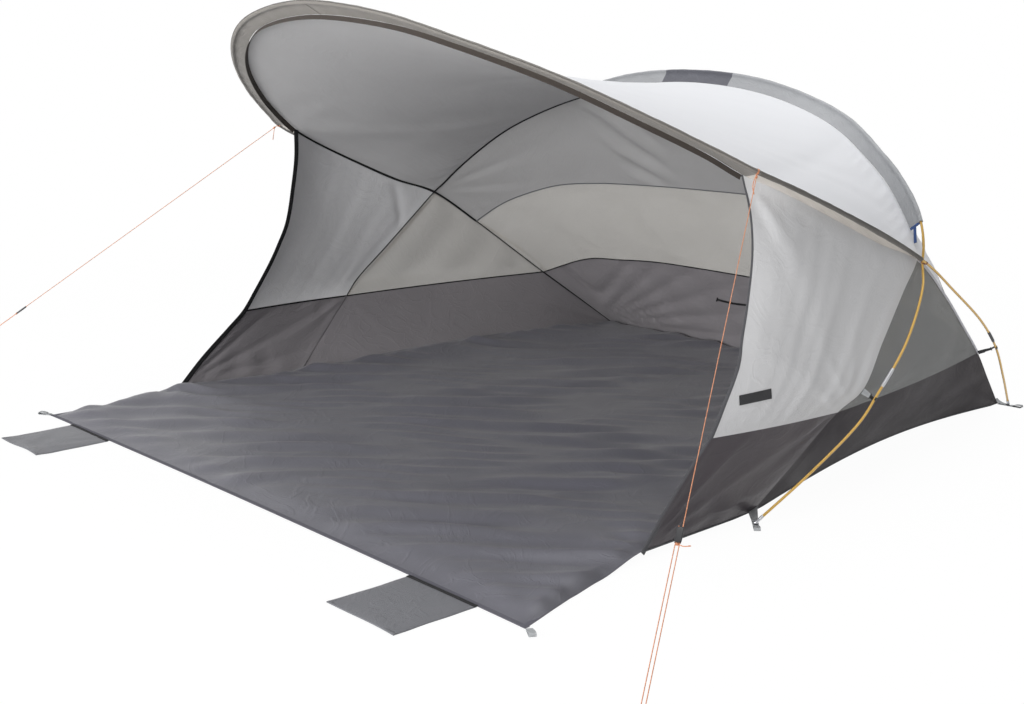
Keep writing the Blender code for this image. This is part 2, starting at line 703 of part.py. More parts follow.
def add_walls(seams, side):
    edge = BINDING_RADIUS + CLEARANCE
    seam_to_band = on_side(seams.side_high + seams.side_clip[1:], side)
    leg_to_band = on_side(seams.leg_high + seams.leg_low[1:], side)
    grid = patch(
        on_side(seams.shoulder, side),
        on_side(seams.band_top_front, side),
        on_side(seams.wall_edge_high, side),
        seam_to_band,
    )
    insets = (SEAM_INSET, SEAM_INSET, edge, SEAM_INSET)
    add_cloth(side_name("side_front", side), grid, "wall_cloth", insets)

    bottom = on_side(seams.band_top_side, side)
    grid = patch([seam_to_band[0]] * len(bottom), bottom, seam_to_band, leg_to_band)
    grid[0] = blend(grid[0], grid[1], TIP_SHARE)
    add_cloth(side_name("side_rear", side), grid, "mesh_cloth")

    kink_to_floor = on_side(seams.side_band, side)
    add_band(
        side_name("band_front", side),
        on_side(seams.band_top_front, side),
        on_side(seams.hem_front, side),
        on_side(seams.wall_edge_low, side),
        kink_to_floor,
        (SEAM_INSET, SEAM_INSET, edge, SEAM_INSET),
    )
    hem, leg = on_side(seams.hem_side, side), on_side(seams.leg_band, side)
    add_band(side_name("band_side", side), bottom, hem, kink_to_floor, leg)
    path = on_side(seams.wall_edge_high + seams.wall_edge_low[1:], side)
    add_binding(side_name("edge_binding", side), path)


def add_binding(name, path):
    """Round binding along a wall's front edge, drawn in from its two ends."""
    path = np.array(path)
    path[0] += unit(path[1] - path[0]) * (SLEEVE_SEAM_GAP + CLEARANCE)
    path[-1] += unit(path[-2] - path[-1]) * (BINDING_RADIUS + CLOTH + CLEARANCE)
    rings = []
    for point, tangent in zip(path, np.gradient(path, axis=0)):
        tangent = unit(tangent)
        side = np.array([1.0, 0.0, 0.0])
        frame = (point, tangent, unit(side - tangent * (side @ tangent)))
        rings.append(ring(frame, BINDING_RADIUS, POLE_SIDES))
    return add_rings(name, rings, "binding", "capped")


def add_floor(seams):
    """Groundsheet: flat on the ground, and lifted along its side hems."""
    grid = []
    for edge in seams.hem_front + seams.hem_side[1:]:
        line = []
        for c in range(FLOOR_CELL_COUNT + 1):
            turn = (c / FLOOR_CELL_COUNT - 0.5) * math.pi
            x = edge[0] * math.sin(turn)
            near = max(0.0, 1 - (edge[0] - abs(x)) / HEM_LIFT_REACH)
            line.append(np.array([x, edge[1], edge[2] * near * near]))
        grid.append(line)
    return add_cloth("floor", np.array(grid), "floor_sheet", lift=CLOTH / 2)


# Apron, sand pockets and corner loops


def apron_corner(side):
    front = -FOOT_FORWARD - APRON_LENGTH
    return np.array([APRON_SHIFT + side * APRON_HALF_WIDTH, front, CLOTH / 2])


def add_apron():
    cells = FLOOR_CELL_COUNT
    foot = np.array([FOOT_HALF_WIDTH, -FOOT_FORWARD, CLOTH / 2])
    left, right = mirrored(foot), foot
    front_left, front_right = apron_corner(-1), apron_corner(1)
    grid = []
    for r in range(APRON_CELL_COUNT + 1):
        v = r / APRON_CELL_COUNT
        start, end = blend(left, front_left, v), blend(right, front_right, v)
        grid.append([blend(start, end, i / cells) for i in range(cells + 1)])
    return add_cloth("apron", np.array(grid), "apron_sheet")


def add_block(name, low, high, rounding, finish, placing):
    """A box between two corners in its own frame, with rounded edges."""
    shape = bmesh.new()
    bmesh.ops.create_cube(shape, size=1.0)
    bmesh.ops.scale(shape, verts=shape.verts, vec=Vector(high - low))
    bmesh.ops.translate(shape, verts=shape.verts, vec=Vector((high + low) / 2))
    mesh = bpy.data.meshes.new(name)
    shape.to_mesh(mesh)
    shape.free()
    mesh.materials.append(material(finish))
    obj = bpy.data.objects.new(name, mesh)
    obj.matrix_world = placing
    bpy.context.scene.collection.objects.link(obj)
    edges = obj.modifiers.new("rounding", "BEVEL")
    edges.width = rounding
    edges.segments = 2
    return obj


def add_sand_pocket(side):
    """Flat empty sand bag on the apron's front edge, with its origin on its fold."""
    corner = apron_corner(side)
    middle = corner[0] - side * (POCKET_FROM_CORNER + POCKET_WIDTH / 2)
    fold = Vector((middle, corner[1], POCKET_THICKNESS))
    low = np.array([-POCKET_WIDTH / 2, -POCKET_LENGTH, -POCKET_THICKNESS])
    high = np.array([POCKET_WIDTH / 2, 0.0, 0.0])
    name = side_name("sand_pocket", side)
    return add_block(name, low, high, POCKET_ROUNDING, "pocket_cloth", Matrix.Translation(fold))


def folded_loop_path(root, direction, length, opening):
    """Webbing that runs out flat, turns back over itself and comes down near its start."""
    up = np.array([0.0, 0.0, 1.0])
    low = WEBBING_THICKNESS / 2
    radius = (opening + WEBBING_THICKNESS) / 2
    end = length - radius - low
    path = [root + direction * end * share + up * low for share in (0.0, 0.35, 0.70)]
    for turn in range(0, 181, 30):
        angle = math.radians(turn)
        out, rise = end + radius * math.sin(angle), low + radius * (1 - math.cos(angle))
        path.append(root + direction * out + up * rise)
    rest = low + WEBBING_THICKNESS + CLEARANCE
    path.append(root + direction * end * 0.55 + up * (low + 1.6 * radius))
    path.append(root + direction * end * 0.30 + up * rest)
    path.append(root + direction * end * 0.12 + up * rest)
    return path


def add_ribbon(name, path, width, thickness, side, finish, origin=(0, 0, 0)):
    """A flat strap along a path; side is the direction across its width."""
    path = np.array(path)
    side = unit(np.asarray(side, float))
    rings = []
    for point, tangent in zip(path, np.gradient(path, axis=0)):
        normal = unit(np.cross(unit(tangent), side))
        a, b = side * width / 2, normal * thickness / 2
        rings.append([point + a + b, point - a + b, point - a - b, point + a - b])
    last = 4 * len(rings) - 4
    points = [p for one in rings for p in one]
    faces = [(0, 1, 2, 3), (last, last + 1, last + 2, last + 3)]
    for r in range(0, last, 4):
        for i in range(4):
            j = (i + 1) % 4
            faces.append((r + i, r + j, r + 4 + j, r + 4 + i))
    return add_mesh(name, points, faces, finish, smooth=False, origin=origin)


LOOP_DIRECTION_SHARES = (0.84, -0.54)  # outwards and forwards


def add_corner_loop(side):
    out, forward = LOOP_DIRECTION_SHARES
    direction = unit(np.array([side * out, forward, 0.0]))
    across = np.cross(direction, np.array([0.0, 0.0, 1.0]))
    root = apron_corner(side) * np.array([1.0, 1.0, 0.0])
    root += direction * LOOP_OUT + np.array([0.0, LOOP_BACK, 0.0])
    path = folded_loop_path(root, direction, LOOP_LENGTH, LOOP_OPENING)
    name = side_name("corner_loop", side)
    size = (WEBBING_WIDTH, WEBBING_THICKNESS)
    return add_ribbon(name, path, *size, across, "webbing", origin=tuple(path[0]))


# Webbing anchors under the poles' feet, clips and sleeve straps


def add_anchor(name, corner, foot):
    """Webbing from a ground corner to the pole's foot, with an eyelet and a peg loop beyond."""
    flat = np.array([1.0, 1.0, 0.0])
    corner, foot = corner * flat, foot * flat
    direction = unit(foot - corner)
    root = corner + direction * WEBBING_WIDTH * 0.8
    beyond = foot + direction * (FOOT_BALL_RADIUS + CLEARANCE)
    loop = folded_loop_path(beyond, direction, ANCHOR_TAIL, LOOP_OPENING)
    low = np.array([0.0, 0.0, WEBBING_THICKNESS / 2])
    path = [root + low, blend(root, foot, 0.5) + low, *loop]
    across = np.cross(direction, np.array([0.0, 0.0, 1.0]))
    strap = add_ribbon(name, path, WEBBING_WIDTH, WEBBING_THICKNESS, across, "webbing")
    hole = NOSE_RADIUS + EYELET_CLEARANCE
    under, over = foot - low * 2, foot + low * 4
    return combine(strap, add_cylinder("eyelet", under, over, hole, "webbing", 10), "DIFFERENCE")


def add_clip(name, hoop, seam_point):
    """Strap from the cloth that ends in a hook round the pole."""
    middles = (hoop.points[1:] + hoop.points[:-1]) / 2
    best = int(np.argmin(np.linalg.norm(middles - seam_point, axis=1)))
    start, end = hoop.points[best], hoop.points[best + 1]
    tangent = unit(end - start)
    reach = np.linalg.norm(end - start)
    place = min(max((seam_point - start) @ tangent, CLIP_WIDTH), reach - CLIP_WIDTH)
    centre = start + tangent * place
    towards = seam_point - centre
    towards = unit(towards - tangent * (towards @ tangent))
    across = np.cross(tangent, towards)
    distance = (seam_point - centre) @ towards
    radius = POLE_RADIUS + CLEARANCE + CLIP_THICKNESS / 2
    first = centre + towards * (distance - CLIP_THICKNESS - SEAM_INSET)
    path = [first, blend(first, centre + towards * radius, 0.5)]
    path.append(centre + towards * 1.7 * radius + across * 0.5 * radius)
    steps = 10
    for i in range(steps + 1):
        angle = math.radians(40 + CLIP_WRAP_DEGREES * i / steps)
        path.append(centre + radius * (towards * math.cos(angle) + across * math.sin(angle)))
    return add_ribbon(name, path, CLIP_WIDTH, CLIP_THICKNESS, tangent, "clip_plastic")


def add_sleeve_strap(hoop, side):
    """Short strap from the rear sleeve's end face down to the roof seam beside it."""
    along = hoop.row_along(REAR_ROW_CROSSING, side) - side * REAR_SLEEVE_END_SETBACK
    place = hoop.place_of(along)
    point, tangent, _ = hoop.frame(place)
    tangent = tangent * side
    outward = point - hoop.seam_at(place)
    outward = outward - tangent * (outward @ tangent)
    start = point - outward * STRAP_START_SHARE + tangent * CLEARANCE
    outward = unit(outward)
    low = hoop.curve.at(along + side * SLEEVE_STRAP_LENGTH)[3:]
    end = low + outward * (STRAP_WIDTH / 2 + SLEEVE_SEAM_GAP)
    path = [start, start + tangent * STRAP_WIDTH / 2, blend(start, end, 0.6), end]
    name = side_name("sleeve_strap", side)
    return add_ribbon(name, path, STRAP_WIDTH, WEBBING_THICKNESS, outward, "sleeve_strap")


# Guy lines and sliders


class GuyLine:
    """Straight line from the front hoop to its peg, back in a second strand to the slider."""

    def __init__(self, hoop, side):
        self.side = side
        place = hoop.place_of(hoop.row_along(FRONT_ROW_WALL_TOP, side))
        top = hoop.frame(place)[0]
        rise = GUY_RADIUS + CLEARANCE
        peg = np.array([side * GUY_PEG_OUT, -GUY_PEG_FORWARD, rise])
        self.direction = unit(peg - top)
        self.start = top + self.direction * (SLEEVE_BORE_RADIUS + SLEEVE_WALL - CLEARANCE)
        self.across = unit(np.cross(self.direction, np.array([0.0, 0.0, 1.0]))) * side
        self.end = peg
        self.length = np.linalg.norm(peg - self.start)

    def at(self, share, strand=0.0):
        along = self.start + self.direction * self.length * share
        return along + self.across * GUY_STRAND_SPACING * strand

    def path(self):
        main, back = 22, 8
        points = [self.at(i / main) for i in range(main + 1)]
        radius = GUY_STRAND_SPACING / 2
        middle = self.end + self.across * radius
        level = unit(self.direction * np.array([1.0, 1.0, 0.0]))
        for turn in range(30, 180, 30):
            angle = math.radians(turn)
            bend = level * math.sin(angle) - self.across * math.cos(angle)
            points.append(middle + bend * radius)
        top = GUY_SLIDER_SHARE - SLIDER_LENGTH * 0.6 / self.length
        points += [self.at(blend(1.0, top, i / back), 1.0) for i in range(back + 1)]
        return points


def add_guy_line(guy):
    name = side_name("guy_line", guy.side)
    curve = bpy.data.curves.new(name, "CURVE")
    curve.dimensions = "3D"
    curve.bevel_depth = GUY_RADIUS
    curve.bevel_resolution = 2
    curve.use_fill_caps = True
    path = guy.path()
    spline = curve.splines.new("POLY")
    spline.points.add(len(path) - 1)
    for point, place in zip(spline.points, path):
        point.co = (*place, 1.0)
    curve.materials.append(material("guy_cord"))
    obj = bpy.data.objects.new(name, curve)
    bpy.context.scene.collection.objects.link(obj)
    return obj


def add_slider(guy):
    """Flat slider with a bore for each strand; it slides along its own Z axis."""
    face = np.cross(guy.direction, guy.across)
    middle = guy.at(GUY_SLIDER_SHARE, 0.5)
    columns = np.array([guy.across, face, guy.direction, middle]).T
    placing = Matrix([*(tuple(row) for row in columns), (0.0, 0.0, 0.0, 1.0)])
    half = np.array([SLIDER_WIDTH, SLIDER_THICKNESS, SLIDER_LENGTH]) / 2
    name = side_name("guy_slider", guy.side)
    slider = add_block(name, -half, half, SLIDER_ROUNDING, "slider_plastic", placing)
    bore = GUY_RADIUS + CLEARANCE
    for strand in (0.0, 1.0):
        middle = guy.at(GUY_SLIDER_SHARE, strand)
        ends = [middle + guy.direction * SLIDER_LENGTH * way for way in (-1, 1)]
        combine(slider, add_cylinder("bore", *ends, bore, "slider_plastic", 10), "DIFFERENCE")
    return slider


def centre_on_origin():
    """Puts the middle of the footprint over the origin, without guy lines and sliders."""
    bpy.context.view_layer.update()
    graph = bpy.context.evaluated_depsgraph_get()
    low, high = np.full(3, np.inf), np.full(3, -np.inf)
    for obj in bpy.data.objects:
        if obj.name.startswith("guy_"):
            continue
        mesh = obj.evaluated_get(graph).to_mesh()
        corners = np.array([obj.matrix_world @ v.co for v in mesh.vertices])
        low, high = np.minimum(low, corners.min(axis=0)), np.maximum(high, corners.max(axis=0))
        obj.evaluated_get(graph).to_mesh_clear()
    shift = Vector(((low[0] + high[0]) / 2, (low[1] + high[1]) / 2, 0.0))
    for obj in bpy.data.objects:
        obj.location -= shift
    bpy.context.view_layer.update()
    return shift, low, high


def main():
    clear_scene()
    front = Hoop(FRONT_HOOP_SHARES, FRONT_ROW_CROSSING, CROSSING_OFFSET, FRONT_SECTIONS)
    rear = Hoop(REAR_HOOP_SHARES, REAR_ROW_CROSSING, -CROSSING_OFFSET, REAR_SECTIONS)
    for hoop, prefix in ((front, "front"), (rear, "rear")):
        add_pole_sections(hoop, prefix)
        add_shock_cord(hoop, f"{prefix}_shock_cord")
    add_sleeve(front, "sleeve_front", FRONT_ROW_CROSSING, SLEEVE_END_SETBACK, "front_sleeve")
    add_sleeve(rear, "sleeve_rear", REAR_ROW_CROSSING, REAR_SLEEVE_END_SETBACK, "rear_sleeve")

    seams = Seams(front, rear)
    add_floor(seams)
    add_roof(seams)
    add_back(seams)
    add_apron()
    for side in (-1, 1):
        add_walls(seams, side)
        add_sand_pocket(side)
        add_corner_loop(side)
        front_corner, rear_corner = on_side([seams.side_band[-1], seams.leg_band[-1]], side)
        add_anchor(side_name("anchor_front", side), front_corner, rear.foot(side))
        add_anchor(side_name("anchor_rear", side), rear_corner, front.foot(side))
        add_pole_tip(rear, side_name("tip_front", side), side)
        add_pole_tip(front, side_name("tip_rear", side), side)
        front_clip, rear_clip = on_side([seams.side_high[-1], seams.leg_low[-1]], side)
        add_clip(side_name("clip_front", side), rear, front_clip)
        add_clip(side_name("clip_rear", side), front, rear_clip)
        add_sleeve_strap(rear, side)
        guy = GuyLine(front, side)
        add_guy_line(guy)
        add_slider(guy)
    shift, low, high = centre_on_origin()
    print("footprint middle", tuple(shift), "low", low, "high", high)


main()
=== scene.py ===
"""Beach tent: the cloth, net, webbing, poles and guy lines that are seen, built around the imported
model of the pitched tent. Metres, +Z up; the open front faces -Y and the right wall is at +X.
"""

import json
import math
from contextlib import contextmanager

import bmesh
import bpy
import numpy as np
from bpy.props import FloatProperty, FloatVectorProperty, PointerProperty
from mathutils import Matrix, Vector


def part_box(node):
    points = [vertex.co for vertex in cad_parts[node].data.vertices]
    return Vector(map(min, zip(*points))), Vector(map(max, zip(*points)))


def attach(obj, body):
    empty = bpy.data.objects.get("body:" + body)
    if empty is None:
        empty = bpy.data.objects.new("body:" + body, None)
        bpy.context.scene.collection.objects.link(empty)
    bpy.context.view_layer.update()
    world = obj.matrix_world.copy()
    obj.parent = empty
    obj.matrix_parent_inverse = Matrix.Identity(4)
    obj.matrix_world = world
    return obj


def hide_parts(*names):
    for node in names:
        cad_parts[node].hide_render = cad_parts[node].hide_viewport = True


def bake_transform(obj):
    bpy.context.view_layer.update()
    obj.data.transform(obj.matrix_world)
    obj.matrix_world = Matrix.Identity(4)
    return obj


bl_info = {
    "name": "Beach tent",
    "version": (1, 0, 0),
    "blender": (4, 5, 0),
    "location": "3D View > Sidebar > Tent",
    "description": "Builds the cloth, webbing, poles and guy lines of a pitched beach tent",
    "category": "Object",
}

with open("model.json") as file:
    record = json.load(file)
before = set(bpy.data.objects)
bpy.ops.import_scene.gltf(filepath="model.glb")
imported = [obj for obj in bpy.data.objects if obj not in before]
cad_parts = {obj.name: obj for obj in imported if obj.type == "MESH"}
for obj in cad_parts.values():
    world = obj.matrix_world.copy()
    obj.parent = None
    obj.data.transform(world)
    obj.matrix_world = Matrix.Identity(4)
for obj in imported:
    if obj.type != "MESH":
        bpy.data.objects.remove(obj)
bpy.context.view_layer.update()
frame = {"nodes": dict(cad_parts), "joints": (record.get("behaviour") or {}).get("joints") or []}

# Sizes that the solids have too
HALF_SPAN = 1.300
BODY_DEPTH = 1.760
VISOR_HEIGHT = 1.556
BAND_HEIGHT = 0.290
FOOT_HALF_WIDTH = 1.300
FOOT_FORWARD = 0.560
FOOT_LIFT = 0.022
HEM_LIFT = 0.038
HEM_DRAW = 0.030
HEM_LIFT_REACH = 0.300
ROOF_SAG = 0.070
BAND_BOW_SHARE = 0.020
APRON_LENGTH = 0.575
APRON_HALF_WIDTH = 1.363
APRON_SHIFT = 0.074
POCKET_WIDTH = 0.290
POCKET_LENGTH = 0.276
POCKET_THICKNESS = 0.006
POCKET_FROM_CORNER = 0.188
POLE_RADIUS = 0.00425
FERRULE_RADIUS = 0.0056
FERRULE_HALF_LENGTH = 0.030
CROSSING_OFFSET = 0.0068
TIP_LENGTH = 0.030
TIP_RADIUS = 0.0053
FOOT_BALL_RADIUS = 0.0060
NOSE_RADIUS = 0.0020
WEBBING_THICKNESS = 0.0016
WEBBING_WIDTH = 0.020
STRAP_WIDTH = 0.012
CLEARANCE = 0.0003
SLEEVE_RADIUS = 0.0072
SLEEVE_TAIL_THICKNESS = 0.0012
SLEEVE_END_SETBACK = 0.035
REAR_SLEEVE_END_SETBACK = 0.145
SLEEVE_STRAP_LENGTH = 0.070
STRAP_START_SHARE = 0.55
GUY_RADIUS = 0.00125
GUY_START = 0.0075
GUY_PEG_OUT = 2.058
GUY_PEG_FORWARD = 1.385
GUY_STRAND_SPACING = 0.010
GUY_SLIDER_SHARE = 0.700
SLIDER_LENGTH = 0.044
SLIDER_WIDTH = 0.018
SLIDER_THICKNESS = 0.0065
ANCHOR_TAIL = 0.052
LOOP_LENGTH = 0.055
LOOP_OUT = 0.0064
LOOP_BACK = 0.012
LOOP_OPENING = 0.0075
CLIP_WIDTH = 0.012
CLIP_THICKNESS = 0.0016
CLIP_WRAP_DEGREES = 250.0
LOOP_DIRECTION = (0.84, -0.54)

# Front hoop from its top to its rear foot: the pole and the cloth seam that belongs to it,
# as shares of HALF_SPAN, BODY_DEPTH and VISOR_HEIGHT
FRONT_HOOP_SHARES = (
    ((0.000, -0.4375, 1.000), (0.000, -0.411, 0.975)),
    ((0.276, -0.415, 0.976), (0.269, -0.389, 0.956)),
    ((0.452, -0.377, 0.936), (0.431, -0.353, 0.922)),
    ((0.675, -0.282, 0.863), (0.638, -0.266, 0.855)),
    ((0.828, -0.180, 0.787), (0.781, -0.169, 0.781)),
    ((0.940, -0.073, 0.713), (0.881, -0.071, 0.713)),
    ((0.975, -0.033, 0.686), (0.914, -0.019, 0.676)),
    ((1.002, 0.020, 0.659), (0.948, 0.037, 0.647)),
    ((1.008, 0.091, 0.628), (0.968, 0.099, 0.616)),
    ((1.009, 0.205, 0.578), (0.981, 0.196, 0.568)),
    ((1.006, 0.327, 0.522), (0.987, 0.318, 0.510)),
    ((1.0015, 0.456, 0.4537), (0.988, 0.446, 0.461)),
    ((0.996, 0.574, 0.375), (0.966, 0.577, 0.362)),
    ((0.978, 0.711, 0.280), (0.936, 0.699, 0.259)),
    ((0.954, 0.804, 0.202), (0.912, 0.788, 0.1833)),
    ((0.915, 0.897, 0.105), (0.869, 0.894, 0.0917)),
    ((0.860, 1.002, 0.005), (0.826, 1.000, 0.000)),
)
FRONT_ROW_WALL_TOP = 6
FRONT_ROW_CROSSING = 11
FRONT_ROW_ARCH = 12
FRONT_ROW_BAND = 14

# Rear hoop from its top to its front foot, in the same way
REAR_HOOP_SHARES = (
    ((0.000, 0.631, 0.830), (0.000, 0.611, 0.803)),
    ((0.245, 0.630, 0.817), (0.238, 0.611, 0.789)),
    ((0.445, 0.622, 0.781), (0.427, 0.601, 0.757)),
    ((0.615, 0.594, 0.736), (0.588, 0.577, 0.713)),
    ((0.765, 0.545, 0.675), (0.731, 0.540, 0.654)),
    ((0.857, 0.522, 0.622), (0.829, 0.516, 0.598)),
    ((0.950, 0.487, 0.551), (0.921, 0.483, 0.528)),
    ((0.988, 0.465, 0.495), (0.963, 0.463, 0.487)),
    ((1.0015, 0.456, 0.4537), (0.988, 0.446, 0.461)),
    ((1.027, 0.426, 0.405), (1.003, 0.390, 0.401)),
    ((1.062, 0.340, 0.302), (1.027, 0.304, 0.308)),
    ((1.073, 0.244, 0.212), (1.049, 0.223, 0.222)),
    ((1.072, 0.196, 0.165), (1.025, 0.176, 0.1815)),
    ((1.057, 0.073, 0.085), (0.993, 0.083, 0.0870)),
    ((1.027, -0.050, 0.005), (0.962, 0.000, 0.000)),
)
REAR_ROW_CROSSING = 8
REAR_ROW_CLIP = 11
REAR_ROW_BAND = 12

# Front edge of a wall, and the seams across the back, as shares of the same sizes; for the
# points on the dark band the height is a share of BAND_HEIGHT
WALL_EDGE_SHARES = (
    (0.934, -0.011, 0.600),
    (0.948, -0.015, 0.524),
    (0.956, -0.032, 0.422),
    (0.966, -0.052, 0.365),
    (0.978, -0.070, 0.318),
    (0.984, -0.113, 0.244),
)
WALL_EDGE_BAND_SHARES = (0.987, -0.148, 1.020)
WALL_EDGE_LOW_SHARES = ((0.989, -0.185, 0.825), (0.996, -0.262, 0.420))
ARCH_SHARES = (
    (0.893, 0.618, 0.4145),
    (0.831, 0.648, 0.443),
    (0.715, 0.702, 0.4775),
    (0.585, 0.753, 0.4884),
    (0.462, 0.790, 0.490),
    (0.308, 0.827, 0.489),
    (0.000, 0.852, 0.489),
)
BACK_BAND_SHARES = (
    (0.738, 0.835, 1.270),
    (0.615, 0.866, 1.300),
    (0.477, 0.895, 1.320),
    (0.269, 0.920, 1.300),
    (0.000, 0.932, 1.280),
)

# Corners of the label patch as shares of the right wall's height and width
LABEL_CORNER_SHARES = (((0.824, 0.072), (0.793, 0.259)), ((0.867, 0.103), (0.841, 0.298)))

# The studio: where the camera looks, from the middle line and the front ground corners, its
# sensor in millimetres, and the ground's disc
CAMERA_AIM = np.array([0.06, 0.06, 0.30])
SENSOR_WIDTH = 36.0
GROUND_RADIUS = 120.0
GROUND_DROP = 0.0008

# Grid cells along each stretch of a seam
VISOR_CELLS = 66
SHOULDER_CELLS = 48
SIDE_CELLS = 60
BAND_CELLS = 22
BAND_SIDE_CELLS = 84
ROOF_CELLS = 84
FLOOR_CELLS = 150
FLOOR_SPACING = 0.018

# How many sections a pole has, how long its end ones are in the solids, and as they are seen
FRONT_SECTIONS = (10, 0.748, 0.530)
REAR_SECTIONS = (7, 0.768, 0.660)

# Sizes of what only this script shows: ferrules near the hoops' ends, small sewn parts, how far
# from its fold the apron's side hems start to clear the bindings, and cloth on the ground
SEEN_FERRULE_HALF_LENGTH = 0.040
HEM_FOLD_ROOM = 0.060
RING_SPACING = 0.022
SLEEVE_RING_SPACING = 0.016
SLEEVE_CLOTH = 0.0005
JOIN_WIDTH = 0.0035
RIM_RADIUS = 0.0013
LABEL_THICKNESS = 0.0012
TAPE_THICKNESS = 0.0014
TAPE_LIFT_INSIDE = 0.0024
TAPE_LIFT_OUTSIDE = 0.0012
BINDING_HALF_THICKNESS = 0.0019
HEM_THICKNESS = 0.0010
PALE_STRIP_WIDTH = 0.013
GROUND_HEM_WIDTH = 0.006
ANCHOR_TAB_WIDTH = 0.034
EYELET_RADIUS = 0.0056
EYELET_RIM_RADIUS = 0.0010
HOOK_TAB_WIDTHS = (0.024, 0.020, 0.015)
TIE_RADIUS = 0.0010
KNOT_TAIL_LENGTH = 0.045
STOP_TAIL_LENGTH = 0.030
TOGGLE_STRAP_WIDTH = 0.009
TOGGLE_HALF_BAR = (0.003, 0.0, 0.009)
TOGGLE_RADIUS = 0.0035
HOOK_BAR_RADIUS = 0.0022
HOOK_ROD_RADIUS = 0.0016
POCKET_MOUTH_WIDTH = 0.013
SLEEVE_BAND_WIDTH = 0.009
CLOTH_ON_GROUND = 0.0006
FLAT_EDGE = 0.05  # width of the groundsheet's and the apron's edges, where the creases end
BAND_ON_GROUND = 0.0012

# Where the rear ground corners lie, and the dark patch on the rear sleeve from the hoop's top
REAR_CORNER_SHARE = 0.826
SLEEVE_PATCH_SPAN = (-0.160, 0.198)

INSIDE = np.array([0.0, 0.70, 0.30])
DOWN_THE_MIDDLE = np.array([-1.0, 1.0, 1.0])
UP = np.array([0.0, 0.0, 1.0])
TO_RIGHT = np.array([1.0, 0.0, 0.0])
LEVEL = np.array([1.0, 1.0, 0.0])
INWARD = np.array([[1.0, 0.0, 0.0], [-1.0, 0.0, 0.0], [0.0, 1.0, 0.0]])  # of left, right, front


def placed_at():
    """Step from the tent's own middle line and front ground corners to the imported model."""
    low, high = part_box("floor")
    fold = next(j for j in frame["joints"] if j["name"] == "apron_fold")
    return np.array([(low.x + high.x) / 2, fold["pos_m"][1] + FOOT_FORWARD, 0.0])


OFFSET = placed_at()


# Lengths and colours that a user would change


def size_setting(name, description, default, low=0.0, high=1.0):
    """A length in metres, shown in the scene's units."""
    return FloatProperty(
        name=name,
        description=description,
        default=default,
        min=low,
        max=high,
        unit="LENGTH",
        precision=4,
    )


def share_setting(name, description, default, high=4.0):
    return FloatProperty(name=name, description=description, default=default, min=0.0, max=high)


def angle_setting(name, description, degrees):
    return FloatProperty(
        name=name, description=description, default=math.radians(degrees), subtype="ANGLE"
    )


def colour_setting(name, description, default):
    return FloatVectorProperty(
        name=name,
        description=description,
        default=default,
        size=3,
        min=0.0,
        max=1.0,
        subtype="COLOR",
    )


class TentSizes(bpy.types.PropertyGroup):
    """Sizes of the sewn parts, and how deep the cloth's folds are"""

    cloth: size_setting("Cloth", "Thickness of the cloth panels", 0.0006, 0.0002, 0.002)
    seam_tape: size_setting("Seam tape", "Width of the black tape on the inner seams", 0.0095)
    fine_tape: size_setting("Fine tape", "Width of the narrow tape on the net's seams", 0.0055)
    visor_tape: size_setting("Visor tape", "Width of the tape along the visor's edge", 0.0350)
    binding: size_setting("Binding", "Width of the binding on the walls' free edges", 0.0210)
    hem: size_setting("Hem", "Width of the folded hems of the apron and the pockets", 0.016)
    wall_folds: share_setting("Wall folds", "Depth of the folds in the walls and roof", 1.0)
    floor_folds: share_setting("Floor folds", "Depth of the creases in the groundsheet", 1.0)


class TentColours(bpy.types.PropertyGroup):
    """Colours of the cloth, the net, the webbing, the poles and the lines"""

    roof: colour_setting("Roof", "Outside of the roof", (0.84, 0.85, 0.88))
    lining: colour_setting("Lining", "Underside of the roof and visor", (0.50, 0.495, 0.495))
    wall: colour_setting("Wall", "Outside of the front wall panels", (0.65, 0.65, 0.66))
    wall_lining: colour_setting("Wall lining", "Inside of the front walls", (0.70, 0.70, 0.71))
    upper_lining: colour_setting("Upper lining", "Inside of the upper back", (0.37, 0.365, 0.365))
    net: colour_setting("Net", "Outside of the net panels", (0.235, 0.240, 0.240))
    # the net's inside is lighter than its outside: painted light that comes through the net from
    # outside
    net_lining: colour_setting("Net lining", "Inside of the net panels", (0.44, 0.425, 0.40))
    band: colour_setting("Band", "Outside of the dark lower walls", (0.037, 0.032, 0.036))
    # the band's inside is lighter than its outside: partly its own inner face, partly painted light
    # that comes through the cloth
    band_lining: colour_setting("Band lining", "Inside of the lower walls", (0.180, 0.169, 0.178))
    floor: colour_setting("Groundsheet", "Groundsheet and apron", (0.086, 0.085, 0.104))
    pocket: colour_setting("Pockets", "Sand pockets", (0.108, 0.110, 0.123))
    front_sleeve: colour_setting("Front sleeve", "Sleeve of the front pole", (0.50, 0.466, 0.425))
    rear_sleeve: colour_setting("Rear sleeve", "Sleeve of the rear pole", (0.31, 0.317, 0.33))
    patch: colour_setting("Sleeve patch", "Patch on top of the rear sleeve", (0.085, 0.087, 0.105))
    tape: colour_setting("Tape", "Seam tapes and bindings", (0.011, 0.011, 0.012))
    pole: colour_setting("Pole", "Gold pole tubes", (0.57, 0.345, 0.075))
    metal: colour_setting("Metal", "Ferrules and pole tips", (0.62, 0.63, 0.66))
    webbing: colour_setting("Webbing", "Ground loops and tabs", (0.30, 0.31, 0.32))
    strap: colour_setting("Sleeve strap", "Straps at the rear sleeve's ends", (0.045, 0.085, 0.22))
    line: colour_setting("Guy line", "Cord of the guy lines", (0.56, 0.215, 0.095))
    plastic: colour_setting("Plastic", "Hooks and sliders", (0.012, 0.012, 0.014))
    tie: colour_setting("Tie", "Cord that ties the poles together", (0.16, 0.045, 0.035))


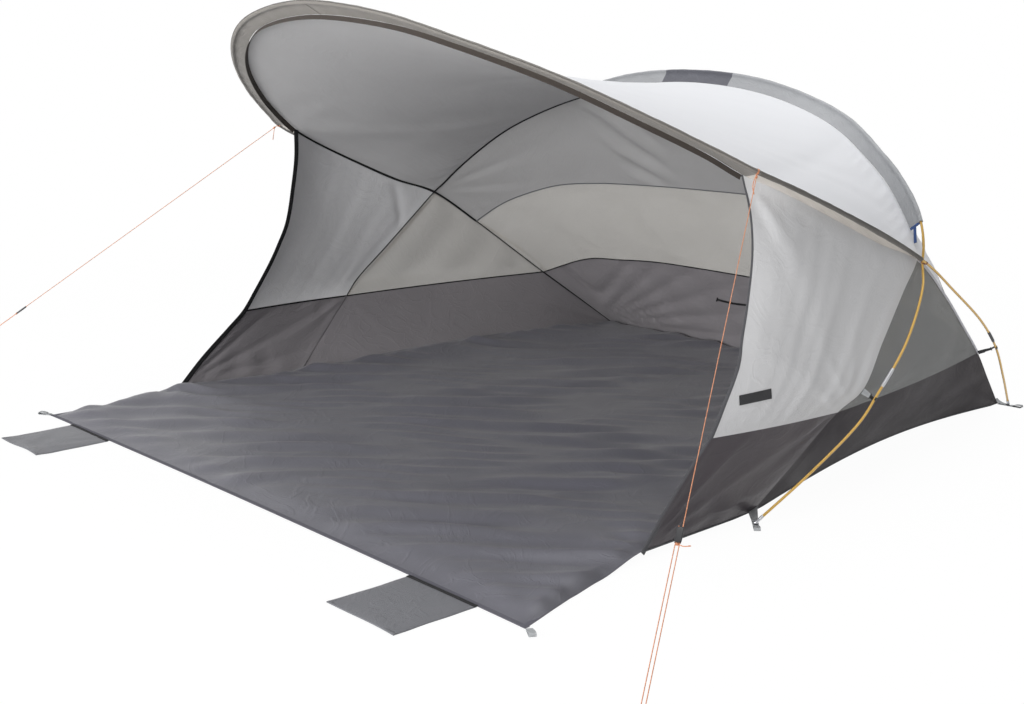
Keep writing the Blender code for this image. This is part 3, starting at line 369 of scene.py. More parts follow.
class StudioSettings(bpy.types.PropertyGroup):
    """Camera angle, lamps and ground of the plain studio"""

    azimuth: angle_setting("Azimuth", "Camera's turn round the tent", 48.0)
    elevation: angle_setting("Elevation", "Camera's height above the horizon", 13.0)
    distance: size_setting("Distance", "Camera to the point it looks at", 5.43, 1.0, 50.0)
    lens: FloatProperty(
        name="Lens", description="Focal length of the camera, in millimetres", default=51.61
    )
    sky: share_setting("Sky", "Strength of the even light from all round", 0.64)
    key: share_setting("Key lamp", "Watts of the large lamp over the tent", 185.0, 2000.0)
    front: share_setting("Front lamp", "Watts of the low lamp before the opening", 780.0, 2000.0)
    ground: colour_setting("Ground", "Colour of the studio's ground", (0.86, 0.86, 0.86))


# Curves and seams


def unit(vector):
    return vector / np.linalg.norm(vector)


def blend(a, b, share):
    return a + (b - a) * share


def distances(points):
    """How far along a line each of its points is."""
    steps = np.linalg.norm(np.diff(points, axis=0), axis=1)
    return np.concatenate([[0.0], np.cumsum(steps)])


def smooth(value):
    """0 below 0, 1 above 1, and an even turn between them."""
    value = np.clip(value, 0.0, 1.0)
    return value * value * (3 - 2 * value)


def arched(cells):
    """0 at both ends of a line and 1 at its middle."""
    return np.sin(math.pi * np.linspace(0, 1, cells + 1))


def mirrored(point):
    point = np.asarray(point, float)
    return point * np.tile(DOWN_THE_MIDDLE, point.shape[-1] // 3)


def on_side(points, side):
    return np.asarray(points) if side > 0 else mirrored(points)


def scaled(shares, height=VISOR_HEIGHT):
    return np.array(shares) * np.array([HALF_SPAN, BODY_DEPTH, height])


class Curve:
    """A smooth curve through points of three or six numbers, measured along its first three."""

    STEPS = 24

    def __init__(self, points):
        points = [np.asarray(p, float) for p in points]
        ends = [2 * points[0] - points[1], *points, 2 * points[-1] - points[-2]]
        dense = []
        for before, start, end, after in zip(ends, ends[1:], ends[2:], ends[3:]):
            dense.extend(self.span(before, start, end, after))
        dense.append(points[-1])
        self.dense = np.array(dense)
        self.along = distances(self.dense[:, :3])
        self.length = self.along[-1]
        self.row_along = self.along[:: self.STEPS]

    def span(self, before, start, end, after):
        """Centripetal spline between two points, which keeps close curves from overshooting."""
        knots = [0.0]
        for a, b in ((before, start), (start, end), (end, after)):
            knots.append(knots[-1] + math.sqrt(np.linalg.norm(b - a)))
        k0, k1, k2, k3 = knots
        for step in range(self.STEPS):
            k = k1 + (k2 - k1) * step / self.STEPS
            a1 = before * (k1 - k) / (k1 - k0) + start * (k - k0) / (k1 - k0)
            a2 = start * (k2 - k) / (k2 - k1) + end * (k - k1) / (k2 - k1)
            a3 = end * (k3 - k) / (k3 - k2) + after * (k - k2) / (k3 - k2)
            b1 = a1 * (k2 - k) / (k2 - k0) + a2 * (k - k0) / (k2 - k0)
            b2 = a2 * (k3 - k) / (k3 - k1) + a3 * (k - k1) / (k3 - k1)
            yield b1 * (k2 - k) / (k2 - k1) + b2 * (k - k1) / (k2 - k1)

    def at(self, along):
        return np.array([np.interp(along, self.along, axis) for axis in self.dense.T]).T

    def between(self, start, end, cells):
        return self.at(np.linspace(start, end, cells + 1))


class Hoop:
    """A bent pole and the cloth seam that belongs to it."""

    TANGENT_STEP = 0.004

    def __init__(self, table, crossing_row, offset, sections):
        sections, end_section, seen_section = sections
        half = [np.concatenate([scaled(pole), scaled(seam)]) for pole, seam in table]
        half[-1][2] = WEBBING_THICKNESS + CLEARANCE + FOOT_BALL_RADIUS
        half[crossing_row][0] += offset
        self.curve = Curve([mirrored(row) for row in half[:0:-1]] + half)
        self.middle_row = len(half) - 1
        self.crossing_row = crossing_row
        self.start = TIP_LENGTH
        self.end = self.curve.length - TIP_LENGTH
        inner = (self.end - self.start - 2 * end_section) / (sections - 2)
        marks = [self.start + end_section + inner * i for i in range(sections - 1)]
        self.joints = [self.start, *marks, self.end]
        self.joints[1], self.joints[-2] = self.start + seen_section, self.end - seen_section

    def row_along(self, row, side=1):
        return self.curve.row_along[self.middle_row + side * row]

    def frame(self, along):
        """Point, tangent and outward side of the pole at a distance along it."""
        here = self.curve.at(along)
        before, after = (self.curve.at(along + way * self.TANGENT_STEP)[:3] for way in (-1, 1))
        tangent = unit(after - before)
        outward = here[:3] - here[3:]
        return here[:3], tangent, unit(outward - tangent * (outward @ tangent))

    def seam_at(self, along):
        return self.curve.at(along)[..., 3:]

    def foot(self, side):
        return self.curve.at(0.0 if side < 0 else self.curve.length)[:3]


FRONT_HOOP = Hoop(FRONT_HOOP_SHARES, FRONT_ROW_CROSSING, CROSSING_OFFSET, FRONT_SECTIONS)
REAR_HOOP = Hoop(REAR_HOOP_SHARES, REAR_ROW_CROSSING, -CROSSING_OFFSET, REAR_SECTIONS)


class Seams:
    """Every seam of the tent's right side as an array of points, and the seams across it."""

    def __init__(self, front, rear):
        middle = front.row_along(0)
        wall_top = front.row_along(FRONT_ROW_WALL_TOP)
        crossing = front.row_along(FRONT_ROW_CROSSING)
        arch_end = front.row_along(FRONT_ROW_ARCH)
        band = front.row_along(FRONT_ROW_BAND)
        share = (arch_end - crossing) / (band - crossing)
        high_cells = round(SIDE_CELLS * share)
        self.visor = self.part(front, middle, wall_top, VISOR_CELLS)
        self.shoulder = self.part(front, wall_top, crossing, SHOULDER_CELLS)
        self.leg_high = self.part(front, crossing, arch_end, high_cells)
        self.leg_low = self.part(front, arch_end, band, SIDE_CELLS - high_cells)
        self.leg_band = self.part(front, band, front.curve.length, BAND_CELLS)

        middle = rear.row_along(0)
        crossing = rear.row_along(REAR_ROW_CROSSING)
        band = rear.row_along(REAR_ROW_BAND)
        self.clip_point = rear.curve.at(rear.row_along(REAR_ROW_CLIP))[3:]
        self.ridge = self.part(rear, middle, crossing, VISOR_CELLS + SHOULDER_CELLS)
        self.side_high = self.part(rear, crossing, band, SIDE_CELLS)
        self.side_band = self.part(rear, band, rear.curve.length, BAND_CELLS)

        foot = np.array([FOOT_HALF_WIDTH, -FOOT_FORWARD, FOOT_LIFT])
        band_front = scaled(WALL_EDGE_BAND_SHARES, BAND_HEIGHT)
        low_points = [scaled(s, BAND_HEIGHT) for s in WALL_EDGE_LOW_SHARES]
        high_points = [scaled(s) for s in WALL_EDGE_SHARES]
        edge = Curve([self.shoulder[0], *high_points, band_front, *low_points, foot])
        split = edge.row_along[len(high_points) + 1]
        self.edge_high = edge.between(0.0, split, SIDE_CELLS)
        self.edge_low = edge.between(split, edge.length, BAND_CELLS)

        kink, rear_top = self.side_high[-1], self.leg_low[-1]
        front_corner, rear_corner = self.side_band[-1], self.leg_band[-1]
        self.band_top_front = self.bowed(band_front, kink, SHOULDER_CELLS)
        self.band_top_side = self.bowed(kink, rear_top, BAND_SIDE_CELLS)
        self.hem_front = self.hem(foot, front_corner, SHOULDER_CELLS, 0.0, 0.0)
        self.hem_side = self.hem(front_corner, rear_corner, BAND_SIDE_CELLS, HEM_LIFT, HEM_DRAW)
        cells = 2 * (VISOR_CELLS + SHOULDER_CELLS)
        self.arch = self.across([self.leg_high[-1], *(scaled(s) for s in ARCH_SHARES)], cells)
        top = [scaled(s, BAND_HEIGHT) for s in BACK_BAND_SHARES]
        self.band_top_back = self.across([rear_top, *top], cells)
        self.hem_back = np.linspace(mirrored(rear_corner), rear_corner, cells + 1)

    @staticmethod
    def part(hoop, start, end, cells):
        return hoop.curve.between(start, end, cells)[:, 3:]

    @staticmethod
    def bowed(start, end, cells):
        """A line between two points that bows outwards, away from the middle of the tent."""
        bow = BAND_BOW_SHARE * np.linalg.norm(end - start) * TO_RIGHT
        return np.linspace(start, end, cells + 1) + arched(cells)[:, None] * bow

    @staticmethod
    def hem(start, end, cells, lift, draw):
        """A hem between two pegged corners, lifted and drawn in along its middle."""
        rise = arched(cells)[:, None] * np.array([-draw, 0.0, lift])
        return np.linspace(start, end, cells + 1) + rise

    @staticmethod
    def across(half, cells):
        """A seam across the tent from its right half, as points from left to right."""
        whole = Curve([mirrored(p) for p in half[:-1]] + half[::-1])
        return whole.between(0.0, whole.length, cells)


SEAMS = Seams(FRONT_HOOP, REAR_HOOP)


def both_halves(half):
    """Points from left to right, from points that run from the middle to the right."""
    return np.concatenate([mirrored(half[:0:-1]), half])


def joined(*parts):
    """Stretches of a seam as one line, without the points that they share."""
    return np.concatenate([parts[0], *(part[1:] for part in parts[1:])])


def patch(low, high, left, right):
    """Grid of points between four edges: low and high run alike, so do left and right."""
    v = np.linspace(0, 1, len(left))[:, None, None]
    u = np.linspace(0, 1, len(low))[None, :, None]
    across = blend(low[None], high[None], v) + blend(left[:, None], right[:, None], u)
    return across - blend(blend(low[0], low[-1], u), blend(high[0], high[-1], u), v)


def side_patch(side, *edges):
    """Grid between four edges of the tent's right side, or their mirror images."""
    return patch(*(on_side(edge, side) for edge in edges))


def back_patch(high, low, leg):
    """Grid between two seams across the back and the same leg on both sides."""
    return patch(high, low, mirrored(leg), leg)


def measured(grid):
    """Distances along the rows and along the columns of a grid, in metres."""
    steps = np.linalg.norm(np.diff(grid, axis=1), axis=2)
    s = np.concatenate([np.zeros((len(grid), 1)), np.cumsum(steps, axis=1)], axis=1)
    steps = np.linalg.norm(np.diff(grid, axis=0), axis=2)
    t = np.concatenate([np.zeros((1, grid.shape[1])), np.cumsum(steps, axis=0)])
    return s, t


def normals_of(grid):
    """Unit normals of a grid, taken from beside an edge that shrinks to a point."""
    a, b = np.gradient(grid, axis=1), np.gradient(grid, axis=0)
    normal = np.cross(a, b)
    size = np.linalg.norm(normal, axis=2, keepdims=True)
    normal = np.divide(normal, size, out=np.zeros_like(normal), where=size > 1e-12)
    for row, beside in ((0, 1), (-1, -2)):
        if np.linalg.norm(normal[row]) < 1:
            normal[row] = normal[beside]
    for column, beside in ((0, 1), (-1, -2)):
        if np.linalg.norm(normal[:, column]) < 1:
            normal[:, column] = normal[:, beside]
    return normal


def outward_normals(grid, upward=False):
    """Normals turned up or away from the inside of the tent, and whether that turned them."""
    normal = normals_of(grid)
    turned = np.sum(normal * (UP if upward else grid - INSIDE)) < 0
    return (-normal if turned else normal), turned


# Folds of the cloth


def edge_fade(s, t, reach):
    """0 on the seams of a panel and 1 further in than reach."""
    near = np.minimum(np.minimum(s, s[:, -1:] - s), np.minimum(t, t[-1:] - t))
    return smooth(near / reach)


def folds(x, y, degrees, length, shift=0.0):
    """Long soft folds that run in one direction and fade in and out, from -1 to 1."""
    turn = math.radians(degrees)
    along = (x * math.cos(turn) + y * math.sin(turn)) / length
    across = (y * math.cos(turn) - x * math.sin(turn)) / length
    bend = 0.9 * np.sin(0.71 * along + shift) + 0.5 * np.sin(1.37 * along + 2.1 * shift + across)
    wave = np.sin(2 * math.pi * across + bend)
    drift = 1.9 * np.sin(0.83 * across + shift)
    held = 0.5 + 0.5 * np.sin(0.9 * along + 1.7 * shift + drift)
    return wave * smooth(held * 1.3 - 0.2)


def seen_from(corner, points, direction):
    """Distance of points from a corner, and how far each lies turned towards a direction."""
    away = points - corner
    distance = np.linalg.norm(away, axis=-1)
    rise = away @ unit(np.asarray(direction, float))
    return distance, np.arctan2(rise, np.sqrt(np.maximum(distance**2 - rise**2, 1e-12)))


def fan(points, corner, direction, count, reach, shift=0.0):
    """Folds that spread from a pulled corner and die away with the distance from it."""
    distance, turn = seen_from(corner, points, direction)
    wave = np.sin(turn * count + shift) + 0.4 * np.sin(turn * count * 1.9 + 2 * shift)
    return wave * np.exp(-distance / reach) * smooth(distance / (0.5 * reach))


def creased_fan(points, corner, count, reach, shift=0.0):
    """The same with narrow crests, as where much cloth is drawn into one corner at the ground."""
    distance, turn = seen_from(corner, points, UP)
    place = turn * count / 2 + shift + 0.5 * np.sin(turn * 5.3 + shift)
    crest = (1 - np.abs(np.sin(place))) ** 1.6
    # the more creases there are, the further out they start, so that none is finer than the grid
    return crest * np.exp(-distance / reach) * smooth(distance / max(0.10, 0.0050 * count))


def seam_puckers(along, away, length, reach, shift=0.0):
    """Short gathers that stand square to a seam and end a little way from it."""
    wave = np.sin(2 * math.pi * along / length + shift + 1.1 * np.sin(along / length))
    return wave * np.exp(-away / reach) * smooth(away / (0.2 * reach))


# Shader node groups and materials


class Graph:
    """Adds nodes and links to one tree in short calls."""

    def __init__(self, tree):
        self.tree = tree

    def link(self, sockets, values):
        """Gives each named or numbered socket its value, or a link from another node."""
        for key, value in dict(values).items():
            if isinstance(value, bpy.types.NodeSocket):
                self.tree.links.new(value, sockets[key])
            else:
                sockets[key].default_value = value

    def add(self, kind, inputs=(), output=0, **settings):
        made = self.tree.nodes.new("ShaderNode" + kind)
        for name, value in settings.items():
            setattr(made, name, value)
        self.link(made.inputs, inputs)
        return made.outputs[output]

    def outputs(self, kind):
        return self.tree.nodes.new("ShaderNode" + kind).outputs

    def math(self, operation, *values):
        return self.add("Math", enumerate(values), operation=operation)

    def wave(self, value, turn):
        return self.math("SINE", self.math("MULTIPLY", value, turn))

    def noise(self, vector, scale, detail=2.0, distortion=0.0):
        inputs = {"Vector": vector, "Scale": scale, "Detail": detail, "Distortion": distortion}
        return self.add("TexNoise", inputs)

    def ramp(self, value, low, high, start=0.0, end=1.0):
        inputs = {0: value, 1: low, 2: high, 3: start, 4: end}
        return self.add("MapRange", inputs, interpolation_type="SMOOTHSTEP")

    def mix(self, factor, a, b, mode="MIX"):
        inputs = {0: factor, 6: a, 7: b}
        return self.add("Mix", inputs, output=2, data_type="RGBA", blend_type=mode)

    def shaded(self, colour, grain):
        """A colour made darker or lighter by a grain about 1."""
        shade = self.add("CombineColor", {0: grain, 1: grain, 2: grain})
        return self.mix(1.0, colour, shade, "MULTIPLY")

    def stretched(self, vector, scale):
        return self.add("Mapping", {"Vector": vector, "Scale": scale})

    def split(self, vector):
        made = self.tree.nodes.new("ShaderNodeSeparateXYZ")
        self.tree.links.new(vector, made.inputs[0])
        return made.outputs


def new_group(name, inputs, outputs):
    """A shader node group with its graph, its inner inputs and its inner outputs.

    Each takes a vector in metres. A number or a colour is the default of its input, and every
    output but the colour is a number.
    """
    tree = bpy.data.node_groups.new(name, "ShaderNodeTree")
    tree.interface.new_socket("Vector", in_out="INPUT", socket_type="NodeSocketVector")
    for label, value in inputs.items():
        kind = "NodeSocketColor" if isinstance(value, tuple) else "NodeSocketFloat"
        tree.interface.new_socket(label, in_out="INPUT", socket_type=kind).default_value = value
    for label in outputs:
        kind = "NodeSocketColor" if label == "Colour" else "NodeSocketFloat"
        tree.interface.new_socket(label, in_out="OUTPUT", socket_type=kind)
    start, end = tree.nodes.new("NodeGroupInput"), tree.nodes.new("NodeGroupOutput")
    return Graph(tree), start.outputs, end.inputs


GREY = (0.5, 0.5, 0.5, 1.0)


def woven_cloth(name):
    """Plain weave with soft patches of colour, fibre grain and fine creases."""
    graph, given, made = new_group(
        name,
        {
            "Colour": GREY,
            "Second Colour": GREY,
            "Patch Amount": 0.5,
            "Patch Scale": 4.0,
            "Thread Pitch": 0.0009,
            "Thread Depth": 0.00005,
            "Crease Scale": 7.0,
            "Crease Depth": 0.0006,
            "Roughness": 0.6,
        },
        ("Colour", "Roughness", "Height"),
    )
    vector = given["Vector"]
    patches = graph.noise(vector, given["Patch Scale"], 3.0, 0.6)
    patches = graph.ramp(patches, 0.30, 0.70)
    amount = graph.math("MULTIPLY", patches, given["Patch Amount"])
    colour = graph.mix(amount, given["Colour"], given["Second Colour"])
    u, v, _ = graph.split(vector)
    turn = graph.math("DIVIDE", 2 * math.pi, given["Thread Pitch"])
    warp, weft = graph.wave(u, turn), graph.wave(v, turn)
    threads = graph.math("MULTIPLY", warp, weft)
    fibres = graph.noise(graph.stretched(vector, (900.0, 140.0, 1.0)), 1.0, 2.0)
    grain = graph.math("ADD", graph.math("MULTIPLY", threads, 0.02), 0.96)
    grain = graph.math("ADD", grain, graph.math("MULTIPLY", fibres, 0.08))
    colour = graph.shaded(colour, grain)
    creases = graph.noise(vector, given["Crease Scale"], 4.0, 1.6)
    creases = graph.math("ABSOLUTE", graph.math("SUBTRACT", creases, 0.5))
    creases = graph.ramp(creases, 0.0, 0.06, 1.0, 0.0)
    height = graph.math("MULTIPLY", creases, given["Crease Depth"])
    height = graph.math("MULTIPLY_ADD", threads, given["Thread Depth"], height)
    uneven = graph.math("SUBTRACT", patches, 0.5)
    rough = graph.math("MULTIPLY_ADD", uneven, 0.10, given["Roughness"])
    graph.link(made, {"Colour": colour, "Roughness": rough, "Height": height})
    return graph.tree


def knotted_net(name):
    """Fine square net: how much of each mesh is open, and the rounded threads between."""
    graph, given, made = new_group(name, {"Pitch": 0.0016, "Openness": 0.6}, ("Alpha", "Height"))
    u, v, _ = graph.split(given["Vector"])
    turn = graph.math("DIVIDE", math.pi, given["Pitch"])
    across, along = (graph.math("ABSOLUTE", graph.wave(value, turn)) for value in (u, v))
    inner = graph.math("MINIMUM", across, along)
    hole = graph.math("MULTIPLY", graph.ramp(inner, 0.30, 0.55), given["Openness"])
    alpha = graph.math("SUBTRACT", 1.0, hole)
    graph.link(made, {"Alpha": alpha, "Height": graph.math("MULTIPLY", inner, -0.0003)})
    return graph.tree


def sewn_strap(name):
    """Ribbed webbing or tape with two rows of stitches near its edges."""
    graph, given, made = new_group(
        name,
        {
            "Colour": GREY,
            "Thread Colour": GREY,
            "Row Distance": 0.004,
            "Stitch Length": 0.005,
            "Rib Pitch": 0.0012,
            "Rib Depth": 0.0001,
        },
        ("Colour", "Height"),
    )
    u, v, _ = graph.split(given["Vector"])
    row = graph.math("SUBTRACT", graph.math("ABSOLUTE", u), given["Row Distance"])
    row = graph.ramp(graph.math("ABSOLUTE", row), 0.0002, 0.0006, 1.0, 0.0)
    turn = graph.math("DIVIDE", 2 * math.pi, given["Stitch Length"])
    dash = graph.wave(v, turn)
    stitch = graph.math("MULTIPLY", row, graph.ramp(dash, -0.4, 0.0))
    turn = graph.math("DIVIDE", 2 * math.pi, given["Rib Pitch"])
    ribs = graph.wave(v, turn)
    fibres = graph.noise(graph.stretched(given["Vector"], (300.0, 1500.0, 1.0)), 1.0, 2.0)
    grain = graph.math("MULTIPLY_ADD", fibres, 0.5, 0.75)
    colour = graph.shaded(given["Colour"], grain)
    colour = graph.mix(stitch, colour, given["Thread Colour"])
    height = graph.math("MULTIPLY", ribs, given["Rib Depth"])
    height = graph.math("MULTIPLY_ADD", stitch, 0.0003, height)
    graph.link(made, {"Colour": colour, "Height": height})
    return graph.tree


def scuffed_surface(name):
    """Hard surface with long scuffs, where the finish is duller and paler, and dust."""
    inputs = {"Colour": GREY, "Worn Colour": GREY, "Wear": 0.4, "Roughness": 0.35}
    graph, given, made = new_group(name, inputs, ("Colour", "Roughness", "Height"))
    vector = given["Vector"]
    scuffs = graph.noise(graph.stretched(vector, (700.0, 22.0, 60.0)), 1.0, 3.0, 0.3)
    scuffs = graph.math("MULTIPLY", graph.ramp(scuffs, 0.52, 0.75), given["Wear"])
    dust = graph.noise(vector, 60.0, 4.0)
    colour = graph.mix(scuffs, given["Colour"], given["Worn Colour"])
    rough = graph.math("MULTIPLY_ADD", scuffs, 0.35, given["Roughness"])
    rough = graph.math("MULTIPLY_ADD", dust, 0.10, rough)
    height = graph.math("MULTIPLY", scuffs, -0.00004)
    graph.link(made, {"Colour": colour, "Roughness": rough, "Height": height})
    return graph.tree


def braided_cord(name):
    """Two sets of strands that cross round a cord; u goes once round it."""
    inputs = {"Colour": GREY, "Fleck Colour": GREY, "Pitch": 0.006}
    graph, given, made = new_group(name, inputs, ("Colour", "Height"))
    u, v, _ = graph.split(given["Vector"])
    round_it = graph.math("MULTIPLY", u, 2 * math.pi * 4)
    along = graph.math("DIVIDE", graph.math("MULTIPLY", v, 2 * math.pi), given["Pitch"])
    one = graph.math("SINE", graph.math("ADD", round_it, along))
    other = graph.math("SINE", graph.math("SUBTRACT", round_it, along))
    strands = graph.math("MAXIMUM", one, other)
    # the valleys between the strands are darkened towards dark brown: painted shade
    valley_shade = graph.ramp(strands, -0.2, 0.6, 0.55, 0.0)
    fleck = graph.ramp(graph.math("SINE", graph.math("MULTIPLY", along, 0.25)), 0.90, 0.98)
    colour = graph.mix(valley_shade, given["Colour"], (0.10, 0.03, 0.015, 1.0))
    colour = graph.mix(graph.math("MULTIPLY", fleck, 0.5), colour, given["Fleck Colour"])
    graph.link(made, {"Colour": colour, "Height": graph.math("MULTIPLY", strands, 0.0002)})
    return graph.tree


def rgba(colour, share=1.0):
    return (*(min(1.0, c * share) for c in colour), 1.0)


class Finish:
    """A new material: its graph, its Principled shader and the metres-scale UVs."""

    def __init__(self, name):
        self.made = bpy.data.materials.new(name)
        self.made.use_nodes = True
        self.graph = Graph(self.made.node_tree)
        self.shader = self.made.node_tree.nodes["Principled BSDF"]
        self.vector = self.graph.add("UVMap")

    def group(self, build, inputs):
        """Outputs of a node group, which is built the first time that a material asks for it."""
        name = build.__name__.replace("_", " ")
        node = self.graph.tree.nodes.new("ShaderNodeGroup")
        node.node_tree = bpy.data.node_groups.get(name) or build(name)
        self.graph.link(node.inputs, {"Vector": self.vector, **inputs})
        return node.outputs

    def surface(self, build, inputs, values):
        """Colour, roughness and height of a group into the shader, and the shader's own values."""
        outputs = self.group(build, inputs)
        links = {"Base Color": outputs["Colour"]}
        if "Roughness" in outputs:
            links["Roughness"] = outputs["Roughness"]
        bump = {"Height": outputs["Height"], "Distance": 1.0, "Strength": 1.0}
        links["Normal"] = self.graph.add("Bump", bump)
        self.graph.link(self.shader.inputs, {**links, **values})
        return self

    def mix_in(self, share, other):
        """Another shader mixed with the material's own."""
        mixed = self.graph.add("MixShader", {0: share, 1: self.shader.outputs[0], 2: other})
        self.graph.link(self.made.node_tree.nodes["Material Output"].inputs, {"Surface": mixed})


def cloth_finish(
    name, colour, second=None, rough=0.62, sheen=0.10, specular=0.35, through=0.0, **group
):
    """A woven, coated cloth; through is the share of light from its other side."""
    inputs = {"Colour": rgba(colour), "Roughness": rough}
    inputs["Second Colour"] = rgba(second or colour, 1.0 if second else 0.86)
    inputs.update({key.replace("_", " ").title(): value for key, value in group.items()})
    values = {"Sheen Weight": sheen, "Specular IOR Level": specular}
    new = Finish(name).surface(woven_cloth, inputs, values)
    if through:
        new.mix_in(through, new.graph.add("BsdfTranslucent", {"Color": rgba(colour)}))
    return new.made


def net_finish(name, colour):
    """The same weave with open meshes, so that what lies behind shows through a little."""
    inputs = {"Colour": rgba(colour), "Second Colour": rgba(colour, 0.9), "Roughness": 0.8}
    inputs.update({"Thread Depth": 0.0, "Crease Depth": 0.0003})
    new = Finish(name).surface(woven_cloth, inputs, {"Specular IOR Level": 0.2})
    alpha = new.group(knotted_net, {"Openness": 0.48})["Alpha"]
    new.graph.link(new.shader.inputs, {"Alpha": alpha})
    return new.made


def strap_finish(name, colour, thread, row=0.004, rough=0.8):
    """Webbing or tape with stitches."""
    inputs = {"Colour": rgba(colour), "Thread Colour": rgba(thread), "Row Distance": row}
    values = {"Roughness": rough, "Sheen Weight": 0.04, "Specular IOR Level": 0.2}
    return Finish(name).surface(sewn_strap, inputs, values).made


def hard_finish(name, colour, worn, metallic=0.0, rough=0.35, wear=0.4, coat=0.0):
    """A pole, metal or plastic part with scuffs."""
    inputs = {"Colour": rgba(colour), "Worn Colour": rgba(worn), "Wear": wear, "Roughness": rough}
    values = {"Metallic": metallic, "Coat Weight": coat, "Coat Roughness": 0.15}
    return Finish(name).surface(scuffed_surface, inputs, values).made


def cord_finish(name, colour, fleck):
    """A braided cord."""
    inputs = {"Colour": rgba(colour), "Fleck Colour": rgba(fleck)}
    values = {"Roughness": 0.75, "Sheen Weight": 0.2}
    return Finish(name).surface(braided_cord, inputs, values).made


def finish(name):
    """A material by name, made the first time that a piece asks for it."""
    found = bpy.data.materials.get(name)
    if found:
        return found
    colours = bpy.context.scene.tent_colours
    black, pale = (0.03, 0.03, 0.033), (0.55, 0.55, 0.56)

    def look(colour, share=1.0, **group):
        return tuple(share * c for c in colour), group

    cloth = {
        "tent roof": look(
            colours.roof, sheen=0.05, patch_amount=0.12, crease_depth=0.0002, through=0.25
        ),
        "tent lining": look(colours.lining, patch_amount=0.25, crease_depth=0.0003, through=0.35),
        "tent wall": look(colours.wall, patch_amount=0.22, crease_depth=0.0003, through=0.20),
        "tent wall lining": look(
            colours.wall_lining, patch_amount=0.3, crease_depth=0.0003, through=0.20
        ),
        "tent upper lining": look(
            colours.upper_lining, patch_amount=0.3, crease_depth=0.0003, through=0.20
        ),
        "tent band": look(colours.band, rough=0.50, specular=0.06, sheen=0.0, crease_depth=0.0004),
        # the same cloth, drawn tight at the front feet, where it shines; its colour is 1.75 times
        # lighter there as painted light
        "tent front band": look(
            colours.band, 1.75, rough=0.38, specular=0.26, sheen=0.0, crease_depth=0.0004
        ),
        # lighter than the band's outside: partly its own inner face, partly painted light that
        # comes through the cloth
        "tent band lining": look(
            colours.band_lining, rough=0.42, specular=0.55, crease_depth=0.0005
        ),
        "tent floor": look(
            colours.floor, rough=0.38, specular=0.60, crease_scale=5.0, crease_depth=0.0006
        ),
        "tent pocket": look(
            colours.pocket, rough=0.5, specular=0.5, crease_scale=8.0, crease_depth=0.0004
        ),
        "tent front sleeve": look(colours.front_sleeve, crease_scale=16.0),
        # darker copies of the front sleeve's cloth: painted shade on its tube and underside; the
        # darker one also colours the sleeve's join and rim
        "tent sleeve seams and painted shade": look(colours.front_sleeve, 0.19),
        "tent sleeve underside painted shade": look(colours.front_sleeve, 0.32),
        "tent rear sleeve": look(colours.rear_sleeve, crease_scale=16.0),
        "tent sleeve patch": look(colours.patch, rough=0.5, specular=0.5),
    }
    if name in cloth:
        colour, group = cloth[name]
        return cloth_finish(name, colour, **group)
    makers = {
        "tent net": lambda: net_finish(name, colours.net),
        # the lighter inside of the net is painted light that comes through it from outside
        "tent net lining": lambda: net_finish(name, colours.net_lining),
        "tent tape": lambda: strap_finish(name, colours.tape, black, row=0.0032, rough=0.9),
        # the visor's seam tape takes the dark brown of the shade under the front sleeve's tail:
        # painted shade
        "tent visor tape": lambda: strap_finish(name, (0.055, 0.046, 0.040), black, row=0.012),
        "tent grey tape": lambda: strap_finish(name, (0.10, 0.105, 0.11), black, row=0.0035),
        "tent mid tape": lambda: strap_finish(name, (0.098, 0.098, 0.106), black, row=0.0035),
        "tent pale tape": lambda: strap_finish(name, (0.50, 0.50, 0.54), pale, row=0.0040),
        "tent hem": lambda: strap_finish(name, colours.floor, (0.16, 0.16, 0.18), row=0.0055),
        "tent webbing": lambda: strap_finish(name, colours.webbing, pale, row=0.0075),
        "tent dark webbing": lambda: strap_finish(name, black, (0.08, 0.08, 0.09)),
        "tent sleeve strap": lambda: strap_finish(name, colours.strap, (0.10, 0.18, 0.45)),
        "tent pole": lambda: hard_finish(
            name, colours.pole, (0.80, 0.66, 0.30), metallic=0.35, rough=0.30, coat=0.4
        ),
        "tent metal": lambda: hard_finish(name, colours.metal, pale, metallic=0.9, rough=0.28),
        "tent dark metal": lambda: hard_finish(name, black, (0.14, 0.14, 0.15), metallic=0.3),
        "tent plastic": lambda: hard_finish(name, colours.plastic, (0.09, 0.09, 0.10), wear=0.5),
        "tent elastic": lambda: strap_finish(name, black, pale, row=0.01),
        "tent guy line": lambda: cord_finish(name, colours.line, (0.75, 0.40, 0.25)),
        "tent tie": lambda: cord_finish(name, colours.tie, (0.30, 0.10, 0.08)),
        "tent label": lambda: cloth_finish(
            name, (0.016, 0.016, 0.018), (0.03, 0.03, 0.033), patch_scale=30.0, rough=0.55
        ),
    }
    return makers[name]()


# Meshes


